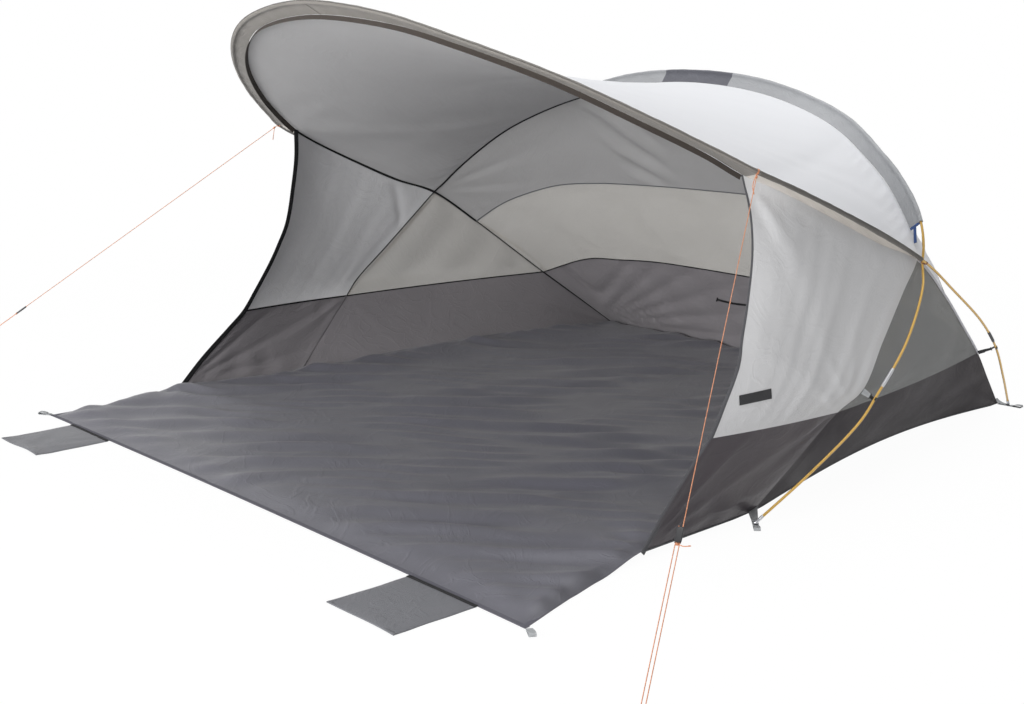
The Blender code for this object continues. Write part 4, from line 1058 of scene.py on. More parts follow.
class Shape:
    """Points, faces, finishes and UVs in metres, gathered for one piece."""

    def __init__(self):
        self.points, self.faces, self.slots, self.places = [], [], [], []

    def face(self, corners, places, slot=0):
        self.faces.append(corners)
        self.places.append(places)
        self.slots.append(slot)

    def rings(self, rings, slot=0, around=None):
        """Joins rings of equal count into a closed skin. UVs run round and along it."""
        rings = np.asarray(rings, float)
        count, sides = rings.shape[:2]
        base = len(self.points)
        self.points.extend(rings.reshape(-1, 3))
        along = distances(rings.mean(axis=1))
        if around is None:
            around = np.linspace(0, 1, sides + 1)
        for r in range(count - 1):
            for i in range(sides):
                a, b = base + r * sides, base + (r + 1) * sides
                j = (i + 1) % sides
                low, high = along[r], along[r + 1]
                one, next_one = around[i], around[i + 1]
                places = ((one, low), (next_one, low), (next_one, high), (one, high))
                self.face((a + i, a + j, b + j, b + i), places, slot)
        for start in (base, base + (count - 1) * sides):
            places = tuple((around[i], 0.0) for i in range(sides))
            self.face(tuple(range(start, start + sides)), places, slot)
        return self

    def tube(self, path, radius, sides=10, slot=0):
        """A round tube; radius is one number or one for each point."""
        path = np.asarray(path, float)
        radii = np.broadcast_to(np.asarray(radius, float), (len(path),))
        frames = carried_frames(path)
        turns = np.linspace(0, 2 * math.pi, sides, endpoint=False)
        rings = [
            point + r * (np.cos(turns)[:, None] * a + np.sin(turns)[:, None] * b)
            for point, (a, b), r in zip(path, frames, radii)
        ]
        return self.rings(rings, slot)

    def strap(self, path, across, width, thickness, slot=0):
        """A flat band with softened edges; across is one direction or one for each point."""
        path = np.asarray(path, float)
        across = np.broadcast_to(np.asarray(across, float), path.shape)
        widths = np.broadcast_to(np.asarray(width, float), (len(path),))
        rings = []
        for point, tangent, side, wide in zip(path, tangents(path), across, widths):
            side = unit(side - tangent * (side @ tangent))
            normal = np.cross(tangent, side)
            a, b, soft = wide / 2, thickness / 2, min(thickness / 3, wide / 6)
            upper = ((a, b - soft), (a - soft, b), (soft - a, b), (-a, b - soft))
            outline = (*upper, *((p, -q) for p, q in upper[::-1]))
            rings.append([point + side * p + normal * q for p, q in outline])
        half = float(widths.mean()) / 2
        around = (half, half, -half, -half, -half, -half, half, half, half)
        return self.rings(rings, slot, around)

    def make(self, name, finishes, sharp_degrees=35.0):
        mesh = bpy.data.meshes.new(name)
        mesh.from_pydata([tuple(p + OFFSET) for p in self.points], [], self.faces)
        flat = [place for places in self.places for place in places]
        dress(mesh, flat, finishes)
        mesh.polygons.foreach_set("material_index", self.slots)
        with edited(mesh) as shape:
            bmesh.ops.recalc_face_normals(shape, faces=shape.faces)
        mesh.shade_smooth()
        mesh.set_sharp_from_angle(angle=math.radians(sharp_degrees))
        return linked(name, mesh)


def linked(name, data):
    """A new object in the scene."""
    obj = bpy.data.objects.new(name, data)
    bpy.context.scene.collection.objects.link(obj)
    return obj


@contextmanager
def edited(mesh):
    """A mesh as a bmesh, written back at the end."""
    shape = bmesh.new()
    shape.from_mesh(mesh)
    yield shape
    shape.to_mesh(mesh)
    shape.free()


def dress(mesh, places, finishes):
    """UVs in metres, and the finishes of a mesh."""
    layer = mesh.uv_layers.new(name="UVMap")
    layer.data.foreach_set("uv", np.array(places, np.float32).ravel())
    for label in finishes:
        mesh.materials.append(finish(label))


def tangents(path):
    step = np.gradient(np.asarray(path, float), axis=0)
    return step / np.maximum(np.linalg.norm(step, axis=1, keepdims=True), 1e-12)


def carried_frames(path):
    """Two directions square to a path at each point, carried along it without twisting."""
    steep = 0.9
    side, frames = None, []
    for tangent in tangents(path):
        if side is None:
            side = UP if abs(tangent[2]) < steep else TO_RIGHT
        side = unit(side - tangent * (side @ tangent))
        frames.append((side, np.cross(tangent, side)))
    return frames


def sheet_mesh(name, grid, finishes, relief=None, upward=False, slots=None):
    """A sheet of cloth over a grid, with its outside turned away from the inside of the tent."""
    normal, turned = outward_normals(grid, upward)
    if relief is not None:
        grid = grid + normal * relief[..., None]
    s, t = measured(grid)
    s = s - s[:, -1:] / 2
    rows, columns = grid.shape[:2]
    index = np.arange(rows * columns).reshape(rows, columns)
    a, b = index[:-1, :-1].ravel(), index[:-1, 1:].ravel()
    c, d = index[1:, 1:].ravel(), index[1:, :-1].ravel()
    faces = np.stack([a, b, c, d] if not turned else [d, c, b, a], axis=1)
    mesh = bpy.data.meshes.new(name)
    points = grid.reshape(-1, 3) + OFFSET
    mesh.from_pydata(points.tolist(), [], faces.tolist())
    dress(mesh, np.stack([s.ravel(), t.ravel()], axis=1)[faces.ravel()], finishes)
    if slots is not None:
        mesh.polygons.foreach_set("material_index", np.ravel(slots))
    with edited(mesh) as shape:
        bmesh.ops.remove_doubles(shape, verts=shape.verts, dist=1e-6)
    mesh.shade_smooth()
    return linked(name, mesh)


def thickened(obj, thickness, inner=0):
    """Gives a sheet its thickness; inner is the step to the finish of its other side."""
    change = obj.modifiers.new("thickness", "SOLIDIFY")
    change.thickness = thickness
    change.offset = 0.0
    change.use_even_offset = False
    change.material_offset = inner
    bpy.context.view_layer.update()
    made = obj.evaluated_get(bpy.context.evaluated_depsgraph_get())
    mesh = bpy.data.meshes.new_from_object(made)
    obj.modifiers.clear()
    obj.data = mesh
    mesh.set_sharp_from_angle(angle=math.radians(60))
    return obj


def cut_size(grid):
    """Width, length and area of the flat cut that a grid of cloth was made from.

    A panel that fills little of its rectangle is laid out as a triangle of that width and area.
    """
    least_share = 0.4
    s, t = measured(grid)
    a = np.cross(grid[:-1, 1:] - grid[:-1, :-1], grid[1:, :-1] - grid[:-1, :-1])
    b = np.cross(grid[1:, :-1] - grid[1:, 1:], grid[:-1, 1:] - grid[1:, 1:])
    area = (np.linalg.norm(a, axis=2).sum() + np.linalg.norm(b, axis=2).sum()) / 2
    wide, long = float(s[:, -1].max()), float(t[-1].max())
    if area < least_share * wide * long:
        long = 2 * float(area) / wide
    return (wide, max(long, float(area) / wide)), float(area)


def add_sheet(name, node, grid, finishes, relief=None, body="tent", **cloth):
    """A cloth panel that stands for a CAD node, which it hides."""
    sizes = bpy.context.scene.tent_sizes
    obj = sheet_mesh(name, grid, finishes, relief, upward=cloth.pop("upward", False))
    thickened(obj, sizes.cloth, inner=len(finishes) - 1)
    if body:
        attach(obj, body)
    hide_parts(node)
    cloth.pop("slot")
    flat, area = cut_size(grid)
    return obj


def side_name(base, side):
    return f"{base}_{'right' if side > 0 else 'left'}"


# Guy lines


class GuyLine:
    """Straight line from the front hoop to its peg, back in a second strand to the slider."""

    def __init__(self, side):
        self.side = side
        top = FRONT_HOOP.frame(FRONT_HOOP.row_along(FRONT_ROW_WALL_TOP, side))[0]
        rise = GUY_RADIUS + CLEARANCE
        self.end = np.array([side * GUY_PEG_OUT, -GUY_PEG_FORWARD, rise])
        self.direction = unit(self.end - top)
        self.start = top + self.direction * GUY_START
        self.across = unit(np.cross(self.direction, UP)) * side
        self.length = np.linalg.norm(self.end - self.start)

    def at(self, share, strand=0.0):
        along = self.start + self.direction * self.length * share
        return along + self.across * GUY_STRAND_SPACING * strand

    def path(self):
        points = [self.at(i / 22) for i in range(23)]
        radius = GUY_STRAND_SPACING / 2
        middle = self.end + self.across * radius
        level = unit(self.direction * LEVEL)
        for degrees in range(20, 180, 20):
            angle = math.radians(degrees)
            bend = level * math.sin(angle) - self.across * math.cos(angle)
            points.append(middle + bend * radius)
        top = GUY_SLIDER_SHARE - SLIDER_LENGTH * 0.6 / self.length
        points += [self.at(blend(1.0, top, i / 8), 1.0) for i in range(9)]
        return np.array(points)


def wrapped(centre, axis, radius, turns, pitch):
    """Points of a cord that winds round an axis."""
    axis = unit(axis)
    a, b = carried_frames(np.array([centre - axis, centre + axis]))[0]
    angles = np.linspace(0, 2 * math.pi * turns, int(14 * turns) + 1)
    rise = (np.linspace(0, 1, len(angles)) - 0.5) * turns * pitch
    ring = np.cos(angles)[:, None] * a + np.sin(angles)[:, None] * b
    return centre + radius * ring + rise[:, None] * axis


def build_slider(guy):
    """Flat slider with rounded ends, a waist between the strands and a hole for each."""
    face = np.cross(guy.direction, guy.across)
    middle = guy.at(GUY_SLIDER_SHARE, 0.5)
    shape = Shape()
    levels = np.linspace(-1, 1, 15)
    rings = []
    for level in levels:
        wide = SLIDER_WIDTH / 2 * (0.80 + 0.20 * math.sqrt(max(0.0, 1 - level**4)))
        thick = SLIDER_THICKNESS / 2 * (0.72 + 0.28 * math.cos(level * math.pi / 2) ** 0.5)
        turns = np.linspace(0, 2 * math.pi, 20, endpoint=False)
        x = np.sign(np.cos(turns)) * np.abs(np.cos(turns)) ** 0.45 * wide
        y = np.sign(np.sin(turns)) * np.abs(np.sin(turns)) ** 0.6 * thick
        y = y * (0.74 + 0.26 * smooth(np.abs(x) / (SLIDER_WIDTH * 0.22)))
        centre = middle + guy.direction * level * SLIDER_LENGTH / 2
        rings.append(centre + x[:, None] * guy.across + y[:, None] * face)
    shape.rings(rings)
    rim = GUY_RADIUS * 2.0
    for strand in (0.0, 1.0):
        for way in (-1, 1):
            hole = guy.at(GUY_SLIDER_SHARE, strand) + guy.direction * way * SLIDER_LENGTH / 2
            loop = wrapped(hole, guy.direction, rim, 1.0, 0.0)
            shape.tube(loop, 0.0007, 6)
    return shape


# Operators


class TentOperator(bpy.types.Operator):
    """What the tent's operators share"""

    bl_options = {"REGISTER", "UNDO"}

    def execute(self, context):
        self.build(context.scene.tent_sizes)
        return {"FINISHED"}

    def build(self, sizes):
        raise NotImplementedError


class TENT_OT_stage(bpy.types.Operator):
    """Sets up the ground, the light and the camera at the photograph's angle"""

    bl_idname = "tent.stage"
    bl_label = "Studio and camera"

    def execute(self, context):
        studio = context.scene.tent_studio
        for obj in [o for o in context.scene.objects if o.type in ("CAMERA", "LIGHT")]:
            bpy.data.objects.remove(obj)
        self.camera(context.scene, studio)
        self.ground(studio)
        self.lamps(context.scene, studio)
        context.scene.view_settings.view_transform = "Standard"
        return {"FINISHED"}

    @staticmethod
    def camera(scene, studio):
        across, up = studio.azimuth, studio.elevation
        back = Vector((math.sin(across) * math.cos(up), -math.cos(across) * math.cos(up), 0))
        back.z = math.sin(up)
        camera = linked("camera", bpy.data.cameras.new("camera"))
        camera.data.lens = studio.lens
        camera.data.sensor_width = SENSOR_WIDTH
        looked_at = Vector(OFFSET + CAMERA_AIM)
        camera.location = looked_at + back * studio.distance
        camera.rotation_euler = (-back).to_track_quat("-Z", "Y").to_euler()
        scene.camera = camera

    @staticmethod
    def ground(studio):
        """A wide disc that takes the tent's shadow and turns white towards the horizon."""
        shape = bmesh.new()
        bmesh.ops.create_circle(shape, cap_ends=True, segments=96, radius=GROUND_RADIUS)
        mesh = bpy.data.meshes.new("ground")
        shape.to_mesh(mesh)
        shape.free()
        ground = linked("ground", mesh)
        ground.location.z = -GROUND_DROP
        new = Finish("studio ground")
        graph = new.graph
        place = graph.add("NewGeometry")
        speckle = graph.noise(place, 30.0, 3.0)
        colour = graph.mix(speckle, rgba(studio.ground), rgba(studio.ground, 0.98))
        values = {"Base Color": colour, "Roughness": 0.9, "Specular IOR Level": 0.1}
        graph.link(new.shader.inputs, values)
        distance = graph.add("VectorMath", {0: place}, output=1, operation="LENGTH")
        far = graph.ramp(distance, 2.2, 5.5, 0.965, 1.0)
        path = graph.outputs("LightPath")
        seen = graph.math("MAXIMUM", path["Is Camera Ray"], path["Is Glossy Ray"])
        seen = graph.math("MAXIMUM", seen, path["Is Transmission Ray"])
        white = graph.add("Emission", {"Color": (1, 1, 1, 1), "Strength": 1.0})
        new.mix_in(graph.math("MULTIPLY", seen, far), white)
        mesh.materials.append(new.made)

    @staticmethod
    def lamps(scene, studio):
        world = scene.world or bpy.data.worlds.new("World")
        scene.world = world
        world.use_nodes = True
        graph = Graph(world.node_tree)
        background = next(n for n in world.node_tree.nodes if n.type == "BACKGROUND")
        path = graph.outputs("LightPath")
        place = graph.add("TexCoord")
        rear = graph.add("VectorMath", {0: place, 1: (0.75, 0.66, 0.0)}, 1, operation="DOT_PRODUCT")
        light = graph.ramp(rear, -0.6, 0.9, studio.sky * 1.25, studio.sky * 0.55)
        strength = graph.ramp(path["Is Camera Ray"], 0.0, 1.0, light, 1.0)
        graph.link(background.inputs, {"Color": (1.0, 1.0, 1.0, 1.0), "Strength": strength})
        lamps = (
            ("key lamp", (0.3, 1.2, 5.5), (0.0, 0.7, 0.4), 5.0, studio.key),
            ("front lamp", (0.9, -8.5, 2.2), (-0.1, 0.6, 0.5), 3.5, studio.front),
        )
        for name, place, towards, size, watts in lamps:
            lamp = linked(name, bpy.data.lights.new(name, "AREA"))
            lamp.data.shape = "DISK"
            lamp.data.size = size
            lamp.data.energy = watts
            lamp.location = Vector(place)
            aim = Vector(towards) - lamp.location
            lamp.rotation_euler = aim.to_track_quat("-Z", "Y").to_euler()


class TENT_OT_guy_lines(TentOperator):
    """Makes both guy lines with their sliders, knots and tails"""

    bl_idname = "tent.guy_lines"
    bl_label = "Guy lines"

    def build(self, sizes):
        for side in (-1, 1):
            guy = GuyLine(side)
            path = guy.path()
            line = Shape().tube(path, GUY_RADIUS, 10).make(
                side_name("guy_cord", side), ["tent guy line"], 60.0
            )
            slider = build_slider(guy).make(side_name("slider", side), ["tent plastic"])
            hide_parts(side_name("guy_slider", side))
            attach(slider, side_name("slider", side))
            knot = self.knot(guy).make(side_name("guy_knot", side), ["tent guy line"], 60.0)
            stop = self.stop_knot(guy).make(side_name("stop_knot", side), ["tent guy line"], 60.0)
            for piece in (line, knot):
                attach(piece, "tent")
            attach(stop, side_name("slider", side))
            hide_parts(side_name("guy_line", side))
            long = float(distances(path)[-1])

    @staticmethod
    def knot(guy):
        """Line tied round the sleeve: two turns, a wrapped neck and a short tail."""
        along = FRONT_HOOP.row_along(FRONT_ROW_WALL_TOP, guy.side)
        point, tangent, outward = FRONT_HOOP.frame(along)
        radius = SLEEVE_RADIUS + GUY_RADIUS
        shape = Shape()
        shape.tube(wrapped(point, tangent, radius, 2.0, 2.6 * GUY_RADIUS), GUY_RADIUS, 8)
        neck = guy.at(0.008)
        neck_turns = wrapped(neck, guy.direction, 2 * GUY_RADIUS, 3.5, 2.1 * GUY_RADIUS)
        shape.tube(neck_turns, GUY_RADIUS, 8)
        tail = [neck + guy.across * 0.003]
        for i in range(1, 9):
            share = i / 8
            swing = guy.direction * 0.010 * share + guy.across * 0.006 * math.sin(3 * share)
            tail.append(tail[0] - UP * KNOT_TAIL_LENGTH * share + swing)
        shape.tube(tail, [GUY_RADIUS] * 7 + [GUY_RADIUS * 1.5, GUY_RADIUS * 0.8], 8)
        return shape

    @staticmethod
    def stop_knot(guy):
        """Stopper knot below the slider, with a tail that stands out to the side."""
        beyond = 0.5 * SLIDER_LENGTH / guy.length
        centre = guy.at(GUY_SLIDER_SHARE + beyond * 1.2, 0.5)
        shape = Shape()
        turns = wrapped(centre, guy.across, 2.0 * GUY_RADIUS, 2.5, 2 * GUY_RADIUS)
        shape.tube(turns, GUY_RADIUS, 8)
        bend = [centre - guy.across * 0.003]
        for i in range(1, 9):
            share = i / 8
            sway = guy.direction * (0.003 * math.sin(4 * share) + 0.003 * share)
            bend.append(bend[0] - guy.across * STOP_TAIL_LENGTH * share + sway)
        shape.tube(bend, [GUY_RADIUS] * 7 + [GUY_RADIUS * 1.6, GUY_RADIUS * 0.9], 8)
        return shape


class TENT_OT_poles(TentOperator):
    """Makes the pole sections with their ferrules, the pole tips and the ties where they cross"""

    bl_idname = "tent.poles"
    bl_label = "Poles"

    def build(self, sizes):
        for hoop, prefix in ((FRONT_HOOP, "front"), (REAR_HOOP, "rear")):
            for number in range(len(hoop.joints) - 1):
                self.section(hoop, prefix, number)
            for side in (-1, 1):
                self.tip(hoop, prefix, side)
            cord = frame["nodes"][f"{prefix}_shock_cord"]
            cord.data.materials.clear()
            cord.data.materials.append(finish("tent elastic"))
        for side in (-1, 1):
            self.tie(side)

    @staticmethod
    def section(hoop, prefix, number):
        start, end = hoop.joints[number], hoop.joints[number + 1]
        last = number == len(hoop.joints) - 2
        steps = max(8, round((end - start) / RING_SPACING))
        shape = Shape()
        path = hoop.curve.between(start, end, steps)[:, :3]
        shape.tube(path, POLE_RADIUS, 16)
        finishes = ["tent pole"]
        if not last:
            ends = number in (0, len(hoop.joints) - 3)
            half = SEEN_FERRULE_HALF_LENGTH if ends else FERRULE_HALF_LENGTH
            path = hoop.curve.between(end - half, end + half, 14)[:, :3]
            radii = np.full(len(path), FERRULE_RADIUS)
            radii[[0, -1]] = POLE_RADIUS + 0.0002
            radii[[1, -2]] = FERRULE_RADIUS - 0.0003
            black = prefix == "front" and ends
            finishes.append("tent dark metal" if black else "tent metal")
            shape.tube(path, radii, 18, slot=1)
        piece = shape.make(f"{prefix}_tube_{number + 1}", finishes)
        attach(piece, "tent")
        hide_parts(f"{prefix}_pole_{number + 1}")

    @staticmethod
    def tip(hoop, prefix, side):
        """Turned end tip: a cap with a groove, a ball foot and a nose through the eyelet."""
        ball = hoop.foot(side)
        pole_end = hoop.curve.at(hoop.start if side < 0 else hoop.end)[:3]
        way = unit(ball - pole_end)
        long = np.linalg.norm(ball - pole_end)
        profile = (
            (-0.001, POLE_RADIUS * 0.7),
            (-0.001, TIP_RADIUS * 0.96),
            (0.001, TIP_RADIUS),
            (long * 0.42, TIP_RADIUS),
            (long * 0.45, TIP_RADIUS * 0.86),
            (long * 0.51, TIP_RADIUS * 0.86),
            (long * 0.54, TIP_RADIUS),
            (long * 0.70, TIP_RADIUS * 0.95),
            (long - FOOT_BALL_RADIUS * 0.7, FOOT_BALL_RADIUS * 0.72),
        )
        path = [pole_end + way * place for place, _ in profile]
        radii = [radius for _, radius in profile]
        for i in range(7):
            turn = math.radians(-42 + 22 * i)
            path.append(ball + way * FOOT_BALL_RADIUS * math.sin(turn))
            radii.append(FOOT_BALL_RADIUS * math.cos(turn))
        shape = Shape().tube(path, radii, 20)
        nose = np.array([ball[0], ball[1], CLEARANCE])
        shape.tube([ball, blend(ball, nose, 0.8), nose], [NOSE_RADIUS, NOSE_RADIUS, 0.001], 12)
        node = side_name("tip_rear" if prefix == "front" else "tip_front", side)
        piece = shape.make(f"metal_{node}", ["tent metal"])
        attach(piece, "tent")
        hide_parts(node)

    @staticmethod
    def tie(side):
        """Thin cord wound crosswise round both poles where they pass each other."""
        a, along_a, out = FRONT_HOOP.frame(FRONT_HOOP.row_along(FRONT_ROW_CROSSING, side))
        b, along_b, _ = REAR_HOOP.frame(REAR_HOOP.row_along(REAR_ROW_CROSSING, side))
        middle, apart = (a + b) / 2, unit(b - a)
        reach = np.linalg.norm(b - a) / 2 + POLE_RADIUS + 0.0012
        shape = Shape()
        for way in (1, -1):
            wide = unit(along_a + way * along_b)
            wide = unit(wide - apart * (wide @ apart))
            angles = np.linspace(0, 2 * math.pi * 2, 57)[:, None]
            slide = np.linspace(-0.5, 0.5, len(angles))[:, None] * 0.004 * np.cross(apart, wide)
            path = middle + np.cos(angles) * apart * reach
            path = path + np.sin(angles) * wide * (POLE_RADIUS + 0.0020) + slide
            shape.tube(path, TIE_RADIUS, 8)
        seam = on_side(SEAMS.shoulder[-1], side)
        start = middle - out * (reach * 0.4)
        shape.tube([start, blend(start, seam, 0.5), seam], TIE_RADIUS, 8)
        piece = shape.make(side_name("pole_tie", side), ["tent tie"], 60.0)
        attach(piece, "tent")


class TENT_OT_sleeves(TentOperator):
    """Makes the cloth sleeves that hold both poles, with their patch, join and end straps"""

    bl_idname = "tent.sleeves"
    bl_label = "Pole sleeves"

    TUBE_COLUMN = 3  # of the strip's grid: the first one round the pole
    FACE_COLUMN = 20  # the first one on the tail's outer face

    def build(self, sizes):
        front = ("tent front sleeve", "tent sleeve seams and painted shade", "tent sleeve patch", "tent sleeve underside painted shade")
        self.sleeve("front", FRONT_HOOP, SLEEVE_END_SETBACK, front)
        rear = ("tent rear sleeve", "tent rear sleeve", "tent sleeve patch", "tent rear sleeve")
        self.sleeve("rear", REAR_HOOP, REAR_SLEEVE_END_SETBACK, rear, SLEEVE_PATCH_SPAN)
        for side in (-1, 1):
            self.end_strap(side)
        self.join_line()

    @staticmethod
    def outline(hoop, along):
        """Points of the sleeve's strip: from the roof's seam, round the pole and back."""
        point, tangent, _ = hoop.frame(along)
        tail = hoop.seam_at(along) - point
        tail = tail - tangent * (tail @ tangent)
        reach = np.linalg.norm(tail)
        tail = tail / reach
        across = np.cross(tangent, -tail)
        slack = 1 + 0.05 * math.sin(along * 41.0) + 0.04 * math.sin(along * 97.0 + 1.0)
        radius = SLEEVE_RADIUS * slack
        half = SLEEVE_TAIL_THICKNESS / 2
        wave = 0.0012 * math.sin(along * 63.0)
        flat = ((0.97, 0.0), (0.66, 0.6), (0.33, 1.0), (0.10, 0.5))
        turns = np.radians(np.linspace(152, -152, 15))
        rows = [(point + tail * blend(radius, reach, s), wave * w) for s, w in flat]
        points = [row + across * (half + lean) for row, lean in rows]
        points += [point + radius * (-tail * math.cos(a) + across * math.sin(a)) for a in turns]
        return points + [row - across * (half - lean) for row, lean in rows[::-1]]

    def sleeve(self, prefix, hoop, setback, finishes, patch_span=(0.0, 0.0)):
        """A strip of cloth folded round the pole and sewn flat to the roof's seam.

        Its finishes: the tail's outer face, the tube beyond the shoulders, the patch at the top,
        and the underside with the tube between the shoulders. On the front sleeve the second and
        the fourth are darker copies of its cloth, as painted shade.
        """
        start = hoop.row_along(hoop.crossing_row, -1) + setback
        end = hoop.row_along(hoop.crossing_row, 1) - setback
        alongs = np.linspace(start, end, round((end - start) / SLEEVE_RING_SPACING) + 1)
        grid = np.array([self.outline(hoop, along) for along in alongs])
        slots = np.zeros((grid.shape[0] - 1, grid.shape[1] - 1), int)
        # slots 3 and 1 take darker copies of the front sleeve's cloth: painted shade between and
        # beyond the shoulders
        slots[:, : self.FACE_COLUMN] = 3
        past = alongs[:-1] - hoop.row_along(0)
        beyond = np.abs(past) > hoop.row_along(FRONT_ROW_WALL_TOP) - hoop.row_along(0)
        slots[beyond] = 0
        slots[beyond, self.TUBE_COLUMN : self.FACE_COLUMN] = 1
        slots[(past > patch_span[0]) & (past < patch_span[1])] = 2
        piece = sheet_mesh(f"{prefix}_sleeve_cloth", grid, finishes, slots=slots)
        thickened(piece, SLEEVE_CLOTH)
        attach(piece, "tent")
        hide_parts(f"sleeve_{prefix}")
        flat, area = cut_size(grid)

    @staticmethod
    def end_strap(side):
        """Dark blue strap from the end of the rear sleeve down to the roof seam."""
        hoop = REAR_HOOP
        along = hoop.row_along(REAR_ROW_CROSSING, side) - side * REAR_SLEEVE_END_SETBACK
        point, tangent, _ = hoop.frame(along)
        tangent = tangent * side
        outward = point - hoop.seam_at(along)
        outward = outward - tangent * (outward @ tangent)
        start = point - outward * STRAP_START_SHARE + tangent * CLEARANCE
        outward = unit(outward)
        low = hoop.curve.at(along + side * SLEEVE_STRAP_LENGTH)[3:]
        end = low + outward * STRAP_WIDTH / 2
        curve = Curve([start - tangent * 0.02, start, blend(start, end, 0.55), end])
        path = curve.between(0.0, curve.length, 18)
        shape = Shape().strap(path, outward, STRAP_WIDTH, WEBBING_THICKNESS)
        hem = hoop.curve.at(along)
        band = [hem[3:] + outward * 0.003, blend(hem[3:], point, 0.5), point + outward * 0.004]
        lift = np.cross(tangent, outward) * 0.0012
        for way in (-1, 1):
            strip = [p + lift * way for p in band]
            shape.strap(strip, tangent, SLEEVE_BAND_WIDTH, 0.0008)
        piece = shape.make(side_name("sleeve_end_strap", side), ["tent sleeve strap"])
        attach(piece, "tent")
        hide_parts(side_name("sleeve_strap", side))

    @staticmethod
    def join_line():
        """Slanting join in the front sleeve's tail, and the stitched rim along its outer edge."""
        middle = FRONT_HOOP.row_along(0)
        shape = Shape()
        points = []
        _, tangent, outward = FRONT_HOOP.frame(middle)
        off_tail = np.cross(tangent, outward) * 0.0016
        for share in np.linspace(0.02, 0.98, 7):
            row = FRONT_HOOP.curve.at(middle - 0.01 + 0.035 * share)
            points.append(blend(row[:3], row[3:], share))
        for way in (1, -1):
            shape.strap([p + off_tail * way for p in points], TO_RIGHT, JOIN_WIDTH, 0.0012)
        piece = shape.make("sleeve_join", ["tent sleeve seams and painted shade"])
        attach(piece, "tent")
        span = FRONT_HOOP.row_along(FRONT_ROW_CROSSING, 1) - SLEEVE_END_SETBACK - middle
        rim = []
        for along in np.linspace(middle - span, middle + span, 161):
            point, _, outward = FRONT_HOOP.frame(along)
            rim.append(point + outward * (SLEEVE_RADIUS + 0.0008))
        piece = Shape().tube(rim, RIM_RADIUS, 6).make("sleeve_rim", ["tent sleeve seams and painted shade"])
        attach(piece, "tent")


class TENT_OT_roof(TentOperator):
    """Makes the roof with its visor, and the closed panel high across the back"""

    bl_idname = "tent.roof"
    bl_label = "Roof and upper back"

    def build(self, sizes):
        front = both_halves(joined(SEAMS.visor, SEAMS.shoulder))
        rear = both_halves(SEAMS.ridge)
        v = np.linspace(0, 1, ROOF_CELLS + 1)[:, None]
        u = np.linspace(0, 1, len(front))[None, :]
        grid = blend(front[None], rear[None], v[..., None])
        grid[..., 2] -= ROOF_SAG * np.sin(math.pi * u) * np.sin(math.pi * v)
        s, t = measured(grid)
        fade = edge_fade(s, t, 0.07)
        x = grid[..., 0]
        outer = smooth((np.abs(x) - 0.55) / 0.5)
        relief = 0.0022 * folds(s, t, 92, 0.60, 0.4) * (1 - 0.6 * outer)
        relief += 0.0016 * folds(s, t, 78, 0.26, 1.9) * outer
        to_ridge = (1 - v) * t[-1:]
        gathers = seam_puckers(distances(rear)[None], to_ridge, 0.055, 0.075, 0.7)
        relief += 0.0026 * gathers * smooth((np.abs(x) - 0.72) / 0.35)
        crease = np.exp(-(((v - 0.62 - 0.25 * (x + 0.2)) / 0.035) ** 2))
        relief += 0.0020 * crease * smooth((x + 0.75) / 0.4) * smooth((0.35 - x) / 0.4)
        relief = relief * fade * sizes.wall_folds
        add_sheet(
            "roof_cloth",
            "roof",
            grid,
            ["tent roof", "tent lining"],
            relief,
            slot="roof_cloth",
            held="stretched",
            rests_on=["front_sleeve_cloth", "rear_sleeve_cloth"],
        )
        grid = back_patch(rear, SEAMS.arch, SEAMS.leg_high)
        s, t = measured(grid)
        relief = 0.0024 * folds(s, t, 97, 0.42, 2.2)
        for side in (-1, 1):
            corner = on_side(SEAMS.ridge[-1], side)
            relief += 0.0035 * fan(grid, corner, UP, 20, 0.42, 0.6 * side)
        relief += 0.0115 * folds(s, t, 62, 0.12, 0.9) * smooth((0.80 - np.abs(grid[..., 0])) / 0.3)
        relief = relief * edge_fade(s, t, 0.06) * sizes.wall_folds
        add_sheet(
            "upper_back_cloth",
            "rear_upper",
            grid,
            ["tent roof", "tent upper lining"],
            relief,
            slot="roof_cloth",
            held="stretched",
            rests_on=["roof_cloth"],
        )


class TENT_OT_nets(TentOperator):
    """Makes the net across the back and the net triangles on both sides"""

    bl_idname = "tent.nets"
    bl_label = "Net panels"

    def build(self, sizes):
        grid = back_patch(SEAMS.arch, SEAMS.band_top_back, SEAMS.leg_low)
        s, t = measured(grid)
        relief = 0.0026 * folds(s, t, 93, 0.5, 1.1) + 0.0012 * folds(s, t, 84, 0.21, 0.3)
        relief = relief * edge_fade(s, t, 0.06) * sizes.wall_folds
        self.net("back_net", "rear_mesh", grid, relief, "dark_band_back")
        for side in (-1, 1):
            seam, bottom = SEAMS.side_high, SEAMS.band_top_side
            top = np.repeat(seam[:1], len(bottom), axis=0)
            grid = side_patch(side, top, bottom, seam, joined(SEAMS.leg_high, SEAMS.leg_low))
            s, t = measured(grid)
            relief = 0.0020 * folds(s, t, 88, 0.3, 0.5) * edge_fade(s, t, 0.08)
            below = side_name("dark_band_side", side)
            self.net(side_name("side_net", side), side_name("side_rear", side), grid, relief, below)

    @staticmethod
    def net(name, node, grid, relief, below):
        add_sheet(
            name,
            node,
            grid,
            ["tent net", "tent net lining"],
            relief,
            slot="mesh_cloth",
            held="stretched",
            rests_on=[below],
        )


